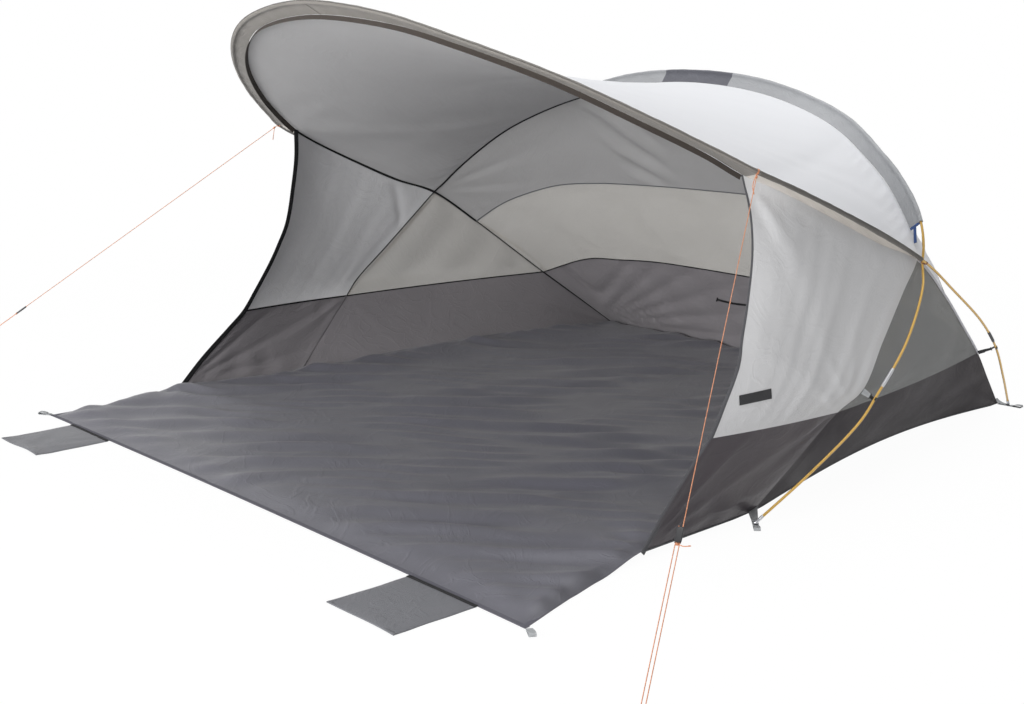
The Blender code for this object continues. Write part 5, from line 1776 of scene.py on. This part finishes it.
class TENT_OT_walls(TentOperator):
    """Makes the front wall panels with their label patch, and the bindings of their edges"""

    bl_idname = "tent.walls"
    bl_label = "Front walls"

    def build(self, sizes):
        for side in (-1, 1):
            edges = SEAMS.shoulder, SEAMS.band_top_front, SEAMS.edge_high, SEAMS.side_high
            grid = side_patch(side, *edges)
            s, t = measured(grid)
            relief = self.wall_folds(grid, s, t, side)
            relief = relief * edge_fade(s, t, 0.05) * sizes.wall_folds
            add_sheet(
                side_name("front_wall", side),
                side_name("side_front", side),
                grid,
                ["tent wall", "tent wall lining"],
                relief,
                slot="wall_cloth",
                held="stretched",
                rests_on=["roof_cloth"],
            )
            if side > 0:
                self.label(grid, relief)
            self.binding(side, sizes)

    @staticmethod
    def wall_folds(grid, s, t, side):
        """Soft upright folds that hang from the shoulder seam, and pulls from the corners."""
        share = s / np.maximum(s[:, -1:], 1e-9)
        down = t / np.maximum(t[-1:], 1e-9)
        upright = np.sin(2 * math.pi * (share * 4.1 + 0.10 * np.sin(4 * down)) + 0.7)
        upright = upright * (0.30 + 0.70 * np.sin(math.pi * down) ** 0.7)
        relief = 0.0030 * upright * smooth((share - 0.25) / 0.35)
        relief += 0.0009 * np.sin(2 * math.pi * share * 9.5 + 2.0 * down) * smooth(share / 0.5)
        kink = on_side(SEAMS.side_high[-1], side)
        relief += 0.0030 * fan(grid, kink, UP, 11, 0.22, 0.4)
        top = on_side(SEAMS.shoulder[0], side)
        relief += 0.0050 * fan(grid, top, (0.0, 1.0, 0.0), 12, 0.26, 1.2)
        if side < 0:
            fold = np.exp(-(((share - 0.73 - 0.75 * down) / 0.026) ** 2))
            relief = 0.30 * relief + 0.0055 * fold * smooth((0.44 - down) / 0.15)
        return relief

    @staticmethod
    def label(grid, relief):
        """Small dark patch with nothing on it, sewn low on the right wall near its edge."""
        rows, columns = grid.shape[:2]
        normal, _ = outward_normals(grid)
        skin = grid + normal * (relief[..., None] + LABEL_THICKNESS)
        corners = np.array(LABEL_CORNER_SHARES) * (rows - 1, columns - 1)
        down, over = np.linspace(0, 1, 9)[:, None, None], np.linspace(0, 1, 21)[None, :, None]
        high, low = (blend(left, right, over) for left, right in corners)
        place = blend(high, low, down)
        grid_rows, grid_columns = place[..., 0], place[..., 1]
        low_r, low_c = grid_rows.astype(int), grid_columns.astype(int)
        part_r, part_c = (grid_rows - low_r)[..., None], (grid_columns - low_c)[..., None]
        top = blend(skin[low_r, low_c], skin[low_r, low_c + 1], part_c)
        bottom = blend(skin[low_r + 1, low_c], skin[low_r + 1, low_c + 1], part_c)
        patch_grid = blend(top, bottom, part_r)
        piece = sheet_mesh("label_patch", patch_grid, ["tent label"])
        thickened(piece, LABEL_THICKNESS)
        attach(piece, "tent")
        flat, area = cut_size(patch_grid)

    @staticmethod
    def binding(side, sizes):
        """Tape folded over the free front edge of a wall, grey outside and black inside."""
        path = on_side(joined(SEAMS.edge_high, SEAMS.edge_low), side)
        inner = on_side(joined(SEAMS.side_high, SEAMS.side_band), side)
        shape = Shape()
        rings = []
        width, half = sizes.binding, BINDING_HALF_THICKNESS
        for point, tangent, beyond in zip(path, tangents(path), inner):
            into = beyond - point
            into = unit(into - tangent * (into @ tangent))
            face = np.cross(tangent, into)
            upper = ((width * 0.86, half * 0.6), (width * 0.30, half), (-0.0002, half * 0.9))
            lower = [(a, -b) for a, b in upper[::-1]]
            outline = (*upper, (-width * 0.12, 0.0), *lower)
            rings.append([point + into * a + face * b for a, b in outline])
        around = (0.006, 0.002, -0.002, -0.006, -0.008, -0.006, -0.002, 0.006)
        shape.rings(rings, around=around)
        outer = (0, 1, 2) if side > 0 else (3, 4, 5)
        count = len(rings[0])
        sides = count * (len(rings) - 1)
        shape.slots[:sides] = [int(i % count in outer) for i in range(sides)]
        finishes = ["tent tape", "tent mid tape"]
        piece = shape.make(side_name("wall_binding", side), finishes, 50.0)
        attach(piece, "tent")
        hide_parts(side_name("edge_binding", side))


class TENT_OT_band(TentOperator):
    """Makes the dark band round the bottom of the tent"""

    bl_idname = "tent.band"
    bl_label = "Dark band"

    def build(self, sizes):
        for side in (-1, 1):
            edges = SEAMS.band_top_front, SEAMS.hem_front, SEAMS.edge_low, SEAMS.side_band
            grid = side_patch(side, *edges)
            foot = np.array([side * FOOT_HALF_WIDTH, -FOOT_FORWARD, FOOT_LIFT])
            kink = on_side(SEAMS.side_band[0], side)
            relief = 0.0045 * fan(grid, kink, (0.0, 0.55, 0.83), 15, 0.26, 0.5)
            relief += 0.0140 * creased_fan(grid, foot, 34, 0.40, 1.0)
            s, t = measured(grid)
            relief += 0.0030 * folds(s, t, 55, 0.13, 1.3)
            names = side_name("dark_band_front", side), side_name("band_front", side)
            # the front pieces take the lighter copy of the band's cloth: painted light
            self.band(*names, grid, relief, "tent front band")

            corner = on_side(SEAMS.leg_band[-1], side)
            edges = SEAMS.band_top_side, SEAMS.hem_side, SEAMS.side_band, SEAMS.leg_band
            grid = side_patch(side, *edges)
            s, t = measured(grid)
            relief = 0.0020 * fan(grid, kink, UP, 13, 0.30, 2.2)
            relief += 0.0080 * creased_fan(grid, corner, 15, 0.33, 0.2)
            relief += 0.0018 * folds(s, t, 12, 0.16, 0.6)
            self.band(side_name("dark_band_side", side), side_name("band_side", side), grid, relief)

        grid = back_patch(SEAMS.band_top_back, SEAMS.hem_back, SEAMS.leg_band)
        s, t = measured(grid)
        relief = 0.0022 * folds(s, t, 80, 0.25, 0.8)
        for side in (-1, 1):
            corner = on_side(SEAMS.leg_band[-1], side)
            relief += 0.0250 * creased_fan(grid, corner, 48, 0.60, 0.9)
        self.band("dark_band_back", "band_back", grid, relief)
        self.toggle(grid)

    @staticmethod
    def toggle(grid):
        """Short dark strap with a toggle at its end, sewn to the inside of the back band."""
        row, columns = 8, slice(83, 101)  # a third of the way down, left of the middle
        line = grid[row, columns] - np.array([0.0, 0.0050, 0.0])
        droop = np.sin(math.pi * np.linspace(0, 1, len(line)))
        line = line - droop[:, None] * np.array([0.0, 0.003, 0.004])
        shape = Shape().strap(line, UP, TOGGLE_STRAP_WIDTH, WEBBING_THICKNESS)
        bar = [line[0] - TOGGLE_HALF_BAR, line[0] + TOGGLE_HALF_BAR]
        shape.tube(bar, TOGGLE_RADIUS, 10)
        piece = shape.make("inner_toggle_strap", ["tent tape"])
        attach(piece, "tent")

    @staticmethod
    def band(name, node, grid, relief, outer="tent band"):
        s, t = measured(grid)
        relief = relief * edge_fade(s, t, 0.035) * bpy.context.scene.tent_sizes.wall_folds
        grid = grid.copy()
        grid[..., 2] = np.maximum(grid[..., 2], BAND_ON_GROUND)
        add_sheet(
            name,
            node,
            grid,
            [outer, "tent band lining"],
            relief,
            slot="band_cloth",
            held="stretched",
            rests_on=["groundsheet"],
        )


def ground_creases(x, y):
    """Height of the creases that run through the groundsheet and on over the apron."""
    height = 0.0060 * (1 + folds(x, y, 47, 0.17, 0.3)) ** 1.5
    height += 0.0030 * (1 + folds(x, y, 39, 0.095, 1.7)) ** 1.5
    height += 0.0060 * (1 + folds(x, y, 30, 0.55, 2.4))
    pulls = (
        (-FOOT_HALF_WIDTH, -FOOT_FORWARD, 0.55, 9.0, 0.2),
        (FOOT_HALF_WIDTH, -FOOT_FORWARD, 0.50, 8.0, 1.2),
        (APRON_SHIFT - APRON_HALF_WIDTH, -FOOT_FORWARD - APRON_LENGTH, 0.45, 10.0, 0.8),
        (APRON_SHIFT + APRON_HALF_WIDTH, -FOOT_FORWARD - APRON_LENGTH, 0.50, 9.0, 2.0),
        (REAR_CORNER_SHARE * HALF_SPAN, BODY_DEPTH, 0.50, 9.0, 0.5),
        (-REAR_CORNER_SHARE * HALF_SPAN, BODY_DEPTH, 0.45, 9.0, 1.5),
    )
    for cx, cy, reach, count, shift in pulls:
        distance = np.hypot(x - cx, y - cy)
        turn = np.arctan2(y - cy, x - cx)
        wave = 1 + np.sin(turn * count + shift)
        height += 0.0035 * wave * np.exp(-distance / reach) * smooth(distance / 0.15)
    return height * bpy.context.scene.tent_sizes.floor_folds


class TENT_OT_groundsheet(TentOperator):
    """Makes the groundsheet, and the apron in front of it"""

    bl_idname = "tent.groundsheet"
    bl_label = "Groundsheet and apron"

    def build(self, sizes):
        edge = joined(SEAMS.hem_front, SEAMS.hem_side)
        turn = np.linspace(-1, 1, FLOOR_CELLS + 1)[None, :]
        x = edge[:, :1] * turn
        grid = np.stack([x, np.broadcast_to(edge[:, 1:2], x.shape), np.zeros_like(x)], axis=2)
        from_side, from_back = edge[:, :1] - np.abs(x), BODY_DEPTH - grid[..., 1]
        near = np.maximum(0.0, 1 - from_side / HEM_LIFT_REACH)
        lift = edge[:, 2:3] * near * near
        inner = smooth(from_side / FLAT_EDGE) * smooth(from_back / FLAT_EDGE)
        grid[..., 2] = CLOTH_ON_GROUND + lift + ground_creases(x, grid[..., 1]) * inner
        add_sheet(
            "groundsheet",
            "floor",
            grid,
            ["tent floor"],
            slot="floor_sheet",
            held="laid",
            rests_on=["ground"],
            upward=True,
        )
        self.apron(sizes)

    @staticmethod
    def apron(sizes):
        """The apron, whose rear edge meets the groundsheet at the fold."""
        rows = round(APRON_LENGTH / FLOOR_SPACING)
        v = np.linspace(0, 1, rows + 1)[:, None]
        share = np.linspace(0, 1, FLOOR_CELLS + 1)[None, :]
        left = blend(-FOOT_HALF_WIDTH, APRON_SHIFT - APRON_HALF_WIDTH, v)
        right = blend(FOOT_HALF_WIDTH, APRON_SHIFT + APRON_HALF_WIDTH, v)
        bow = 0.010 * np.sin(math.pi * v)
        x = blend(left + bow, right - bow, share)
        y = -FOOT_FORWARD - APRON_LENGTH * v + 0 * x
        y = y + 0.012 * np.sin(math.pi * share) ** 0.8 * v
        from_side = np.minimum(x - left, right - x)
        near = np.maximum(0.0, 1 - from_side / HEM_LIFT_REACH)
        lift = FOOT_LIFT * near * near * smooth(1 - v * APRON_LENGTH / 0.22)
        edges = smooth(from_side / FLAT_EDGE) * smooth((1 - v) / 0.20)
        height = CLOTH_ON_GROUND + lift + ground_creases(x, y) * edges
        grid = np.stack([x, y, height], axis=2)
        obj = add_sheet(
            "apron_cloth",
            "apron",
            grid,
            ["tent floor"],
            body=None,
            slot="apron_sheet",
            held="laid",
            rests_on=["ground"],
            upward=True,
        )
        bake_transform(obj)
        hem = Shape()
        past_fold = math.ceil(HEM_FOLD_ROOM / APRON_LENGTH * rows)
        lines = (grid[past_fold:, 0], grid[past_fold:, -1], grid[-1])
        for line, inward in zip(lines, INWARD):
            middle = line + inward * sizes.hem / 2 + UP * 0.0011
            hem.strap(middle, inward, sizes.hem, HEM_THICKNESS)
        piece = hem.make("apron_hem", ["tent hem"])
        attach(piece, "apron")


class TENT_OT_pockets(TentOperator):
    """Makes the two flat sand pockets on the apron's front edge, and the corner loops"""

    bl_idname = "tent.pockets"
    bl_label = "Sand pockets and loops"

    def build(self, sizes):
        for side in (-1, 1):
            self.pocket(side, sizes)
            self.loop(side)

    @staticmethod
    def pocket(side, sizes):
        corner = np.array([APRON_SHIFT + side * APRON_HALF_WIDTH, -FOOT_FORWARD - APRON_LENGTH])
        middle = corner[0] - side * (POCKET_FROM_CORNER + POCKET_WIDTH / 2)
        rows, columns = 34, 36
        v = np.linspace(0, 1, rows + 1)[:, None]
        u = np.linspace(-1, 1, columns + 1)[None, :]
        waver = 0.012 * np.sin(math.pi * v) + 0.010 * np.sin(math.pi * v) * np.sin(9 * v + 2 * u)
        x = middle + u * POCKET_WIDTH / 2 * (1 - waver)
        y = corner[1] - v * POCKET_LENGTH * (1 - 0.010 * (1 - u * u))
        s, t = (u + 1) * POCKET_WIDTH / 2 + 0 * v, v * POCKET_LENGTH + 0 * u
        swell = (np.sin(math.pi * (u + 1) / 2) * np.sin(math.pi * v)) ** 0.35
        depth = 0.35 if side > 0 else 1.0
        crumple = 0.5 + 0.5 * folds(s, t, 28 if side > 0 else 64, 0.11, 0.8 + side)
        crumple = 0.6 * crumple + 0.4 * (0.5 + 0.5 * folds(s, t, 110, 0.07, 1.9))
        top = POCKET_THICKNESS * (0.30 + 0.45 * swell) + 0.0040 * depth * crumple * swell
        lift = 0.004 * depth * smooth((v - 0.75) / 0.25) * (1 + np.sin(3 * u))
        low = 0.0004 + lift * 0.8
        upper = np.stack([x, y, np.maximum(top + lift, low + 0.0010)], axis=2)
        lower = np.stack([x, y, low + 0 * x], axis=2)
        shape = Shape()
        count = columns + 1
        half = (rows + 1) * count
        for grid, base, way in ((upper, 0, 1), (lower, half, -1)):
            shape.points.extend(grid.reshape(-1, 3))
            for r in range(rows):
                for c in range(columns):
                    order = ((r, c), (r, c + 1), (r + 1, c + 1), (r + 1, c))[::way]
                    corners = tuple(base + row * count + column for row, column in order)
                    shape.face(corners, [(s[i], t[i]) for i in order])
        rim = [(0, c) for c in range(columns)] + [(r, columns) for r in range(rows)]
        rim += [(rows, c) for c in range(columns, 0, -1)] + [(r, 0) for r in range(rows, 0, -1)]
        for (r, c), (r2, c2) in zip(rim, rim[1:] + rim[:1]):
            a, b = r * count + c, r2 * count + c2
            shape.face((b, a, a + half, b + half), [(s[r, c], t[r, c])] * 4)
        lines = (upper[:, 0], upper[:, -1], upper[-1])
        for line, inward in zip(lines, INWARD):
            middle_line = line + inward * sizes.hem * 0.35 + UP * 0.0002
            shape.strap(middle_line, inward, sizes.hem * 0.7, 0.0016)
        mouth = upper[0] + np.array([0.0, -0.002, 0.0018])
        shape.strap(mouth, (0.0, 1.0, 0.0), POCKET_MOUTH_WIDTH, 0.0018, slot=1)
        piece = shape.make(side_name("sand_bag", side), ["tent pocket", "tent tape"], 60.0)
        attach(piece, side_name("pocket", side))
        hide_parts(side_name("sand_pocket", side))

    @staticmethod
    def loop(side):
        out, forward = LOOP_DIRECTION
        direction = unit(np.array([side * out, forward, 0.0]))
        across = np.cross(direction, UP)
        front = -FOOT_FORWARD - APRON_LENGTH
        root = np.array([APRON_SHIFT + side * APRON_HALF_WIDTH, front + LOOP_BACK, 0.0])
        root += direction * LOOP_OUT
        path = folded_loop(root, direction, LOOP_LENGTH)
        shape = Shape().strap(path, across, WEBBING_WIDTH, WEBBING_THICKNESS)
        piece = shape.make(side_name("peg_loop", side), ["tent webbing"])
        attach(piece, side_name("loop", side))
        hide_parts(side_name("corner_loop", side))


def folded_loop(root, direction, length):
    """Webbing that runs out flat, turns back over itself and comes down near its start."""
    low = WEBBING_THICKNESS / 2
    radius = (LOOP_OPENING + WEBBING_THICKNESS) / 2
    end = length - radius - low
    path = [root + direction * end * share + UP * low for share in (0.0, 0.35, 0.70)]
    for turn in range(0, 181, 20):
        angle = math.radians(turn)
        rise = low + radius * (1 - math.cos(angle))
        path.append(root + direction * (end + radius * math.sin(angle)) + UP * rise)
    rest = low + WEBBING_THICKNESS + CLEARANCE
    for share, height in ((0.55, low + 1.6 * radius), (0.30, rest), (0.12, rest)):
        path.append(root + direction * end * share + UP * height)
    curve = Curve(path)
    return curve.between(0.0, curve.length, 40)


class TENT_OT_tapes(TentOperator):
    """Makes the tapes over the seams inside the tent, and the pale strips outside"""

    bl_idname = "tent.tapes"
    bl_label = "Seam tapes"

    def build(self, sizes):
        wide, fine, visor = sizes.seam_tape, sizes.fine_tape, sizes.visor_tape
        # the visor tape's dark brown is painted shade from the front sleeve's tail above it
        self.tape("visor_tape", both_halves(SEAMS.visor), visor, "tent visor tape")
        self.tape("ridge_tape", both_halves(SEAMS.ridge), wide, "tent tape")
        self.tape("arch_tape", SEAMS.arch, fine, "tent grey tape")
        self.tape("back_band_tape", SEAMS.band_top_back, fine, "tent tape")
        for side in (-1, 1):
            parts = {
                "shoulder_tape": (SEAMS.shoulder, wide * 1.15, "tent tape"),
                "side_seam_tape": (SEAMS.side_high, fine, "tent tape"),
                "kink_tape": (SEAMS.side_band, fine, "tent band lining"),
                "leg_tape_high": (SEAMS.leg_high, wide, "tent tape"),
                "leg_tape_low": (SEAMS.leg_low, fine * 0.8, "tent tape"),
                "corner_tape": (SEAMS.leg_band, fine * 1.4, "tent tape"),
                "front_band_tape": (SEAMS.band_top_front, fine * 1.2, "tent tape"),
                "side_band_tape": (SEAMS.band_top_side, fine, "tent tape"),
            }
            for name, (line, width, label) in parts.items():
                self.tape(side_name(name, side), on_side(line, side), width, label)
            leg = joined(SEAMS.leg_high, SEAMS.leg_low)
            hem = joined(SEAMS.hem_front, SEAMS.hem_side)
            outside = {
                "pale_leg_strip": (leg, PALE_STRIP_WIDTH, "tent pale tape"),
                "ground_hem": (hem, GROUND_HEM_WIDTH, "tent grey tape"),
            }
            for name, (line, width, label) in outside.items():
                line = on_side(line, side)
                self.tape(side_name(name, side), line, width, label, -TAPE_LIFT_OUTSIDE)

    @staticmethod
    def tape(name, line, width, label, lift=TAPE_LIFT_INSIDE):
        """A band over a seam, lifted towards the inside of the tent or away from it."""
        tangent = tangents(line)
        inward = INSIDE - line
        inward -= tangent * np.sum(inward * tangent, axis=1, keepdims=True)
        inward /= np.linalg.norm(inward, axis=1, keepdims=True)
        across = np.cross(tangent, inward)
        path = line + inward * lift
        path[:, 2] = np.maximum(path[:, 2], width / 2 * np.abs(across[:, 2]) + 0.0008)
        piece = Shape().strap(path, across, width, TAPE_THICKNESS).make(name, [label])
        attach(piece, "tent")


class TENT_OT_anchors(TentOperator):
    """Makes the webbing under the pole feet, and the hooks that hold the cloth to the poles"""

    bl_idname = "tent.anchors"
    bl_label = "Anchors and hooks"

    def build(self, sizes):
        for side in (-1, 1):
            front, rear = on_side(SEAMS.side_band[-1], side), on_side(SEAMS.leg_band[-1], side)
            self.anchor("anchor_front", side, front, REAR_HOOP.foot(side))
            self.anchor("anchor_rear", side, rear, FRONT_HOOP.foot(side))
            clip, rear_top = on_side(SEAMS.clip_point, side), on_side(SEAMS.leg_low[-1], side)
            self.hook("clip_front", side, REAR_HOOP, clip, "tent webbing")
            self.hook("clip_rear", side, FRONT_HOOP, rear_top, "tent dark webbing")

    @staticmethod
    def anchor(base, side, corner, foot):
        corner, foot = corner * LEVEL, foot * LEVEL
        direction = unit(foot - corner)
        root = corner + direction * WEBBING_WIDTH * 0.2
        beyond = foot + direction * (FOOT_BALL_RADIUS + CLEARANCE)
        low = UP * WEBBING_THICKNESS / 2
        across = np.cross(direction, UP)
        shape = Shape()
        start = [blend(root, foot, share) + low for share in (0.0, 0.3, 0.6, 0.9)]
        path = np.concatenate([start, folded_loop(beyond, direction, ANCHOR_TAIL)])
        shape.strap(path, across, WEBBING_WIDTH, WEBBING_THICKNESS)
        tab = [corner - direction * 0.010 + UP * 0.018, corner + UP * 0.011]
        tab += [blend(corner, foot, 0.45) + UP * 0.0045, blend(corner, foot, 0.8) + UP * 0.0035]
        curve = Curve(tab)
        widths = np.linspace(ANCHOR_TAB_WIDTH, WEBBING_WIDTH, 17)
        shape.strap(curve.between(0.0, curve.length, 16), across, widths, 0.0012)
        ring = wrapped(foot + UP * 0.0026, UP, EYELET_RADIUS, 1.0, 0.0)
        shape.tube(ring, EYELET_RIM_RADIUS, 8, slot=1)
        node = side_name(base, side)
        piece = shape.make(f"webbing_{node}", ["tent webbing", "tent dark metal"])
        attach(piece, "tent")
        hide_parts(node)

    @staticmethod
    def hook(base, side, hoop, seam_point, tab_finish):
        """Webbing tab on the cloth, and a hook that grips the pole."""
        span = np.linspace(0.0, hoop.curve.length, 3000)
        gaps = np.linalg.norm(hoop.curve.at(span)[:, :3] - seam_point, axis=1)
        centre, tangent, _ = hoop.frame(span[int(gaps.argmin())])
        towards = seam_point - centre
        towards = unit(towards - tangent * (towards @ tangent))
        across = np.cross(tangent, towards)
        distance = (seam_point - centre) @ towards
        radius = POLE_RADIUS + CLEARANCE + CLIP_THICKNESS / 2
        shape = Shape()
        path = [centre + towards * min(distance * 0.55, 0.016)]
        path.append(centre + towards * 1.7 * radius + across * 0.5 * radius)
        for i in range(15):
            angle = math.radians(40 + CLIP_WRAP_DEGREES * i / 14)
            turn = towards * math.cos(angle) + across * math.sin(angle)
            path.append(centre + radius * turn)
        curve = Curve(path)
        skin = curve.between(0.0, curve.length, 40)
        shape.strap(skin, tangent, CLIP_WIDTH, CLIP_THICKNESS)
        bar = centre + towards * min(distance * 0.6, 0.017)
        wide = tangent * CLIP_WIDTH * 0.8
        shape.tube([bar - wide, bar + wide], HOOK_BAR_RADIUS, 10)
        for half in (-wide, wide):
            shape.tube([bar + half, skin[0] + half * 0.5], HOOK_ROD_RADIUS, 8)
        start = seam_point - towards * 0.002
        tab = [start + across * 0.0006, blend(start, bar, 0.5) + across * 0.001, bar]
        shape.strap(tab, tangent, HOOK_TAB_WIDTHS, 0.0014, slot=1)
        under = [p - across * 0.002 for p in tab[:2]]
        shape.strap(under, tangent, HOOK_TAB_WIDTHS[1], 0.0012, slot=1)
        node = side_name(base, side)
        piece = shape.make(f"hook_{node}", ["tent plastic", tab_finish])
        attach(piece, "tent")
        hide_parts(node)


class TENT_PT_panel(bpy.types.Panel):
    """Lists the tent's settings and pieces"""

    bl_idname = "TENT_PT_panel"
    bl_label = "Beach tent"
    bl_space_type = "VIEW_3D"
    bl_region_type = "UI"
    bl_category = "Tent"

    def draw(self, context):
        layout = self.layout
        for operator in OPERATORS:
            layout.operator(operator.bl_idname)
        scene = context.scene
        for group in (scene.tent_sizes, scene.tent_colours, scene.tent_studio):
            box = layout.box()
            for name in group.__annotations__:
                box.prop(group, name)


OPERATORS = (
    TENT_OT_stage,
    TENT_OT_guy_lines,
    TENT_OT_poles,
    TENT_OT_sleeves,
    TENT_OT_roof,
    TENT_OT_nets,
    TENT_OT_walls,
    TENT_OT_band,
    TENT_OT_groundsheet,
    TENT_OT_pockets,
    TENT_OT_tapes,
    TENT_OT_anchors,
)
CLASSES = (TentSizes, TentColours, StudioSettings, *OPERATORS, TENT_PT_panel)


def register():
    for cls in CLASSES:
        bpy.utils.register_class(cls)
    bpy.types.Scene.tent_sizes = PointerProperty(type=TentSizes)
    bpy.types.Scene.tent_colours = PointerProperty(type=TentColours)
    bpy.types.Scene.tent_studio = PointerProperty(type=StudioSettings)


def unregister():
    del bpy.types.Scene.tent_studio
    del bpy.types.Scene.tent_colours
    del bpy.types.Scene.tent_sizes
    for cls in reversed(CLASSES):
        bpy.utils.unregister_class(cls)


def main():
    register()
    for operator in OPERATORS:
        name = operator.bl_idname.split(".")[1]
        getattr(bpy.ops.tent, name)()


if __name__ == "__main__":
    main()
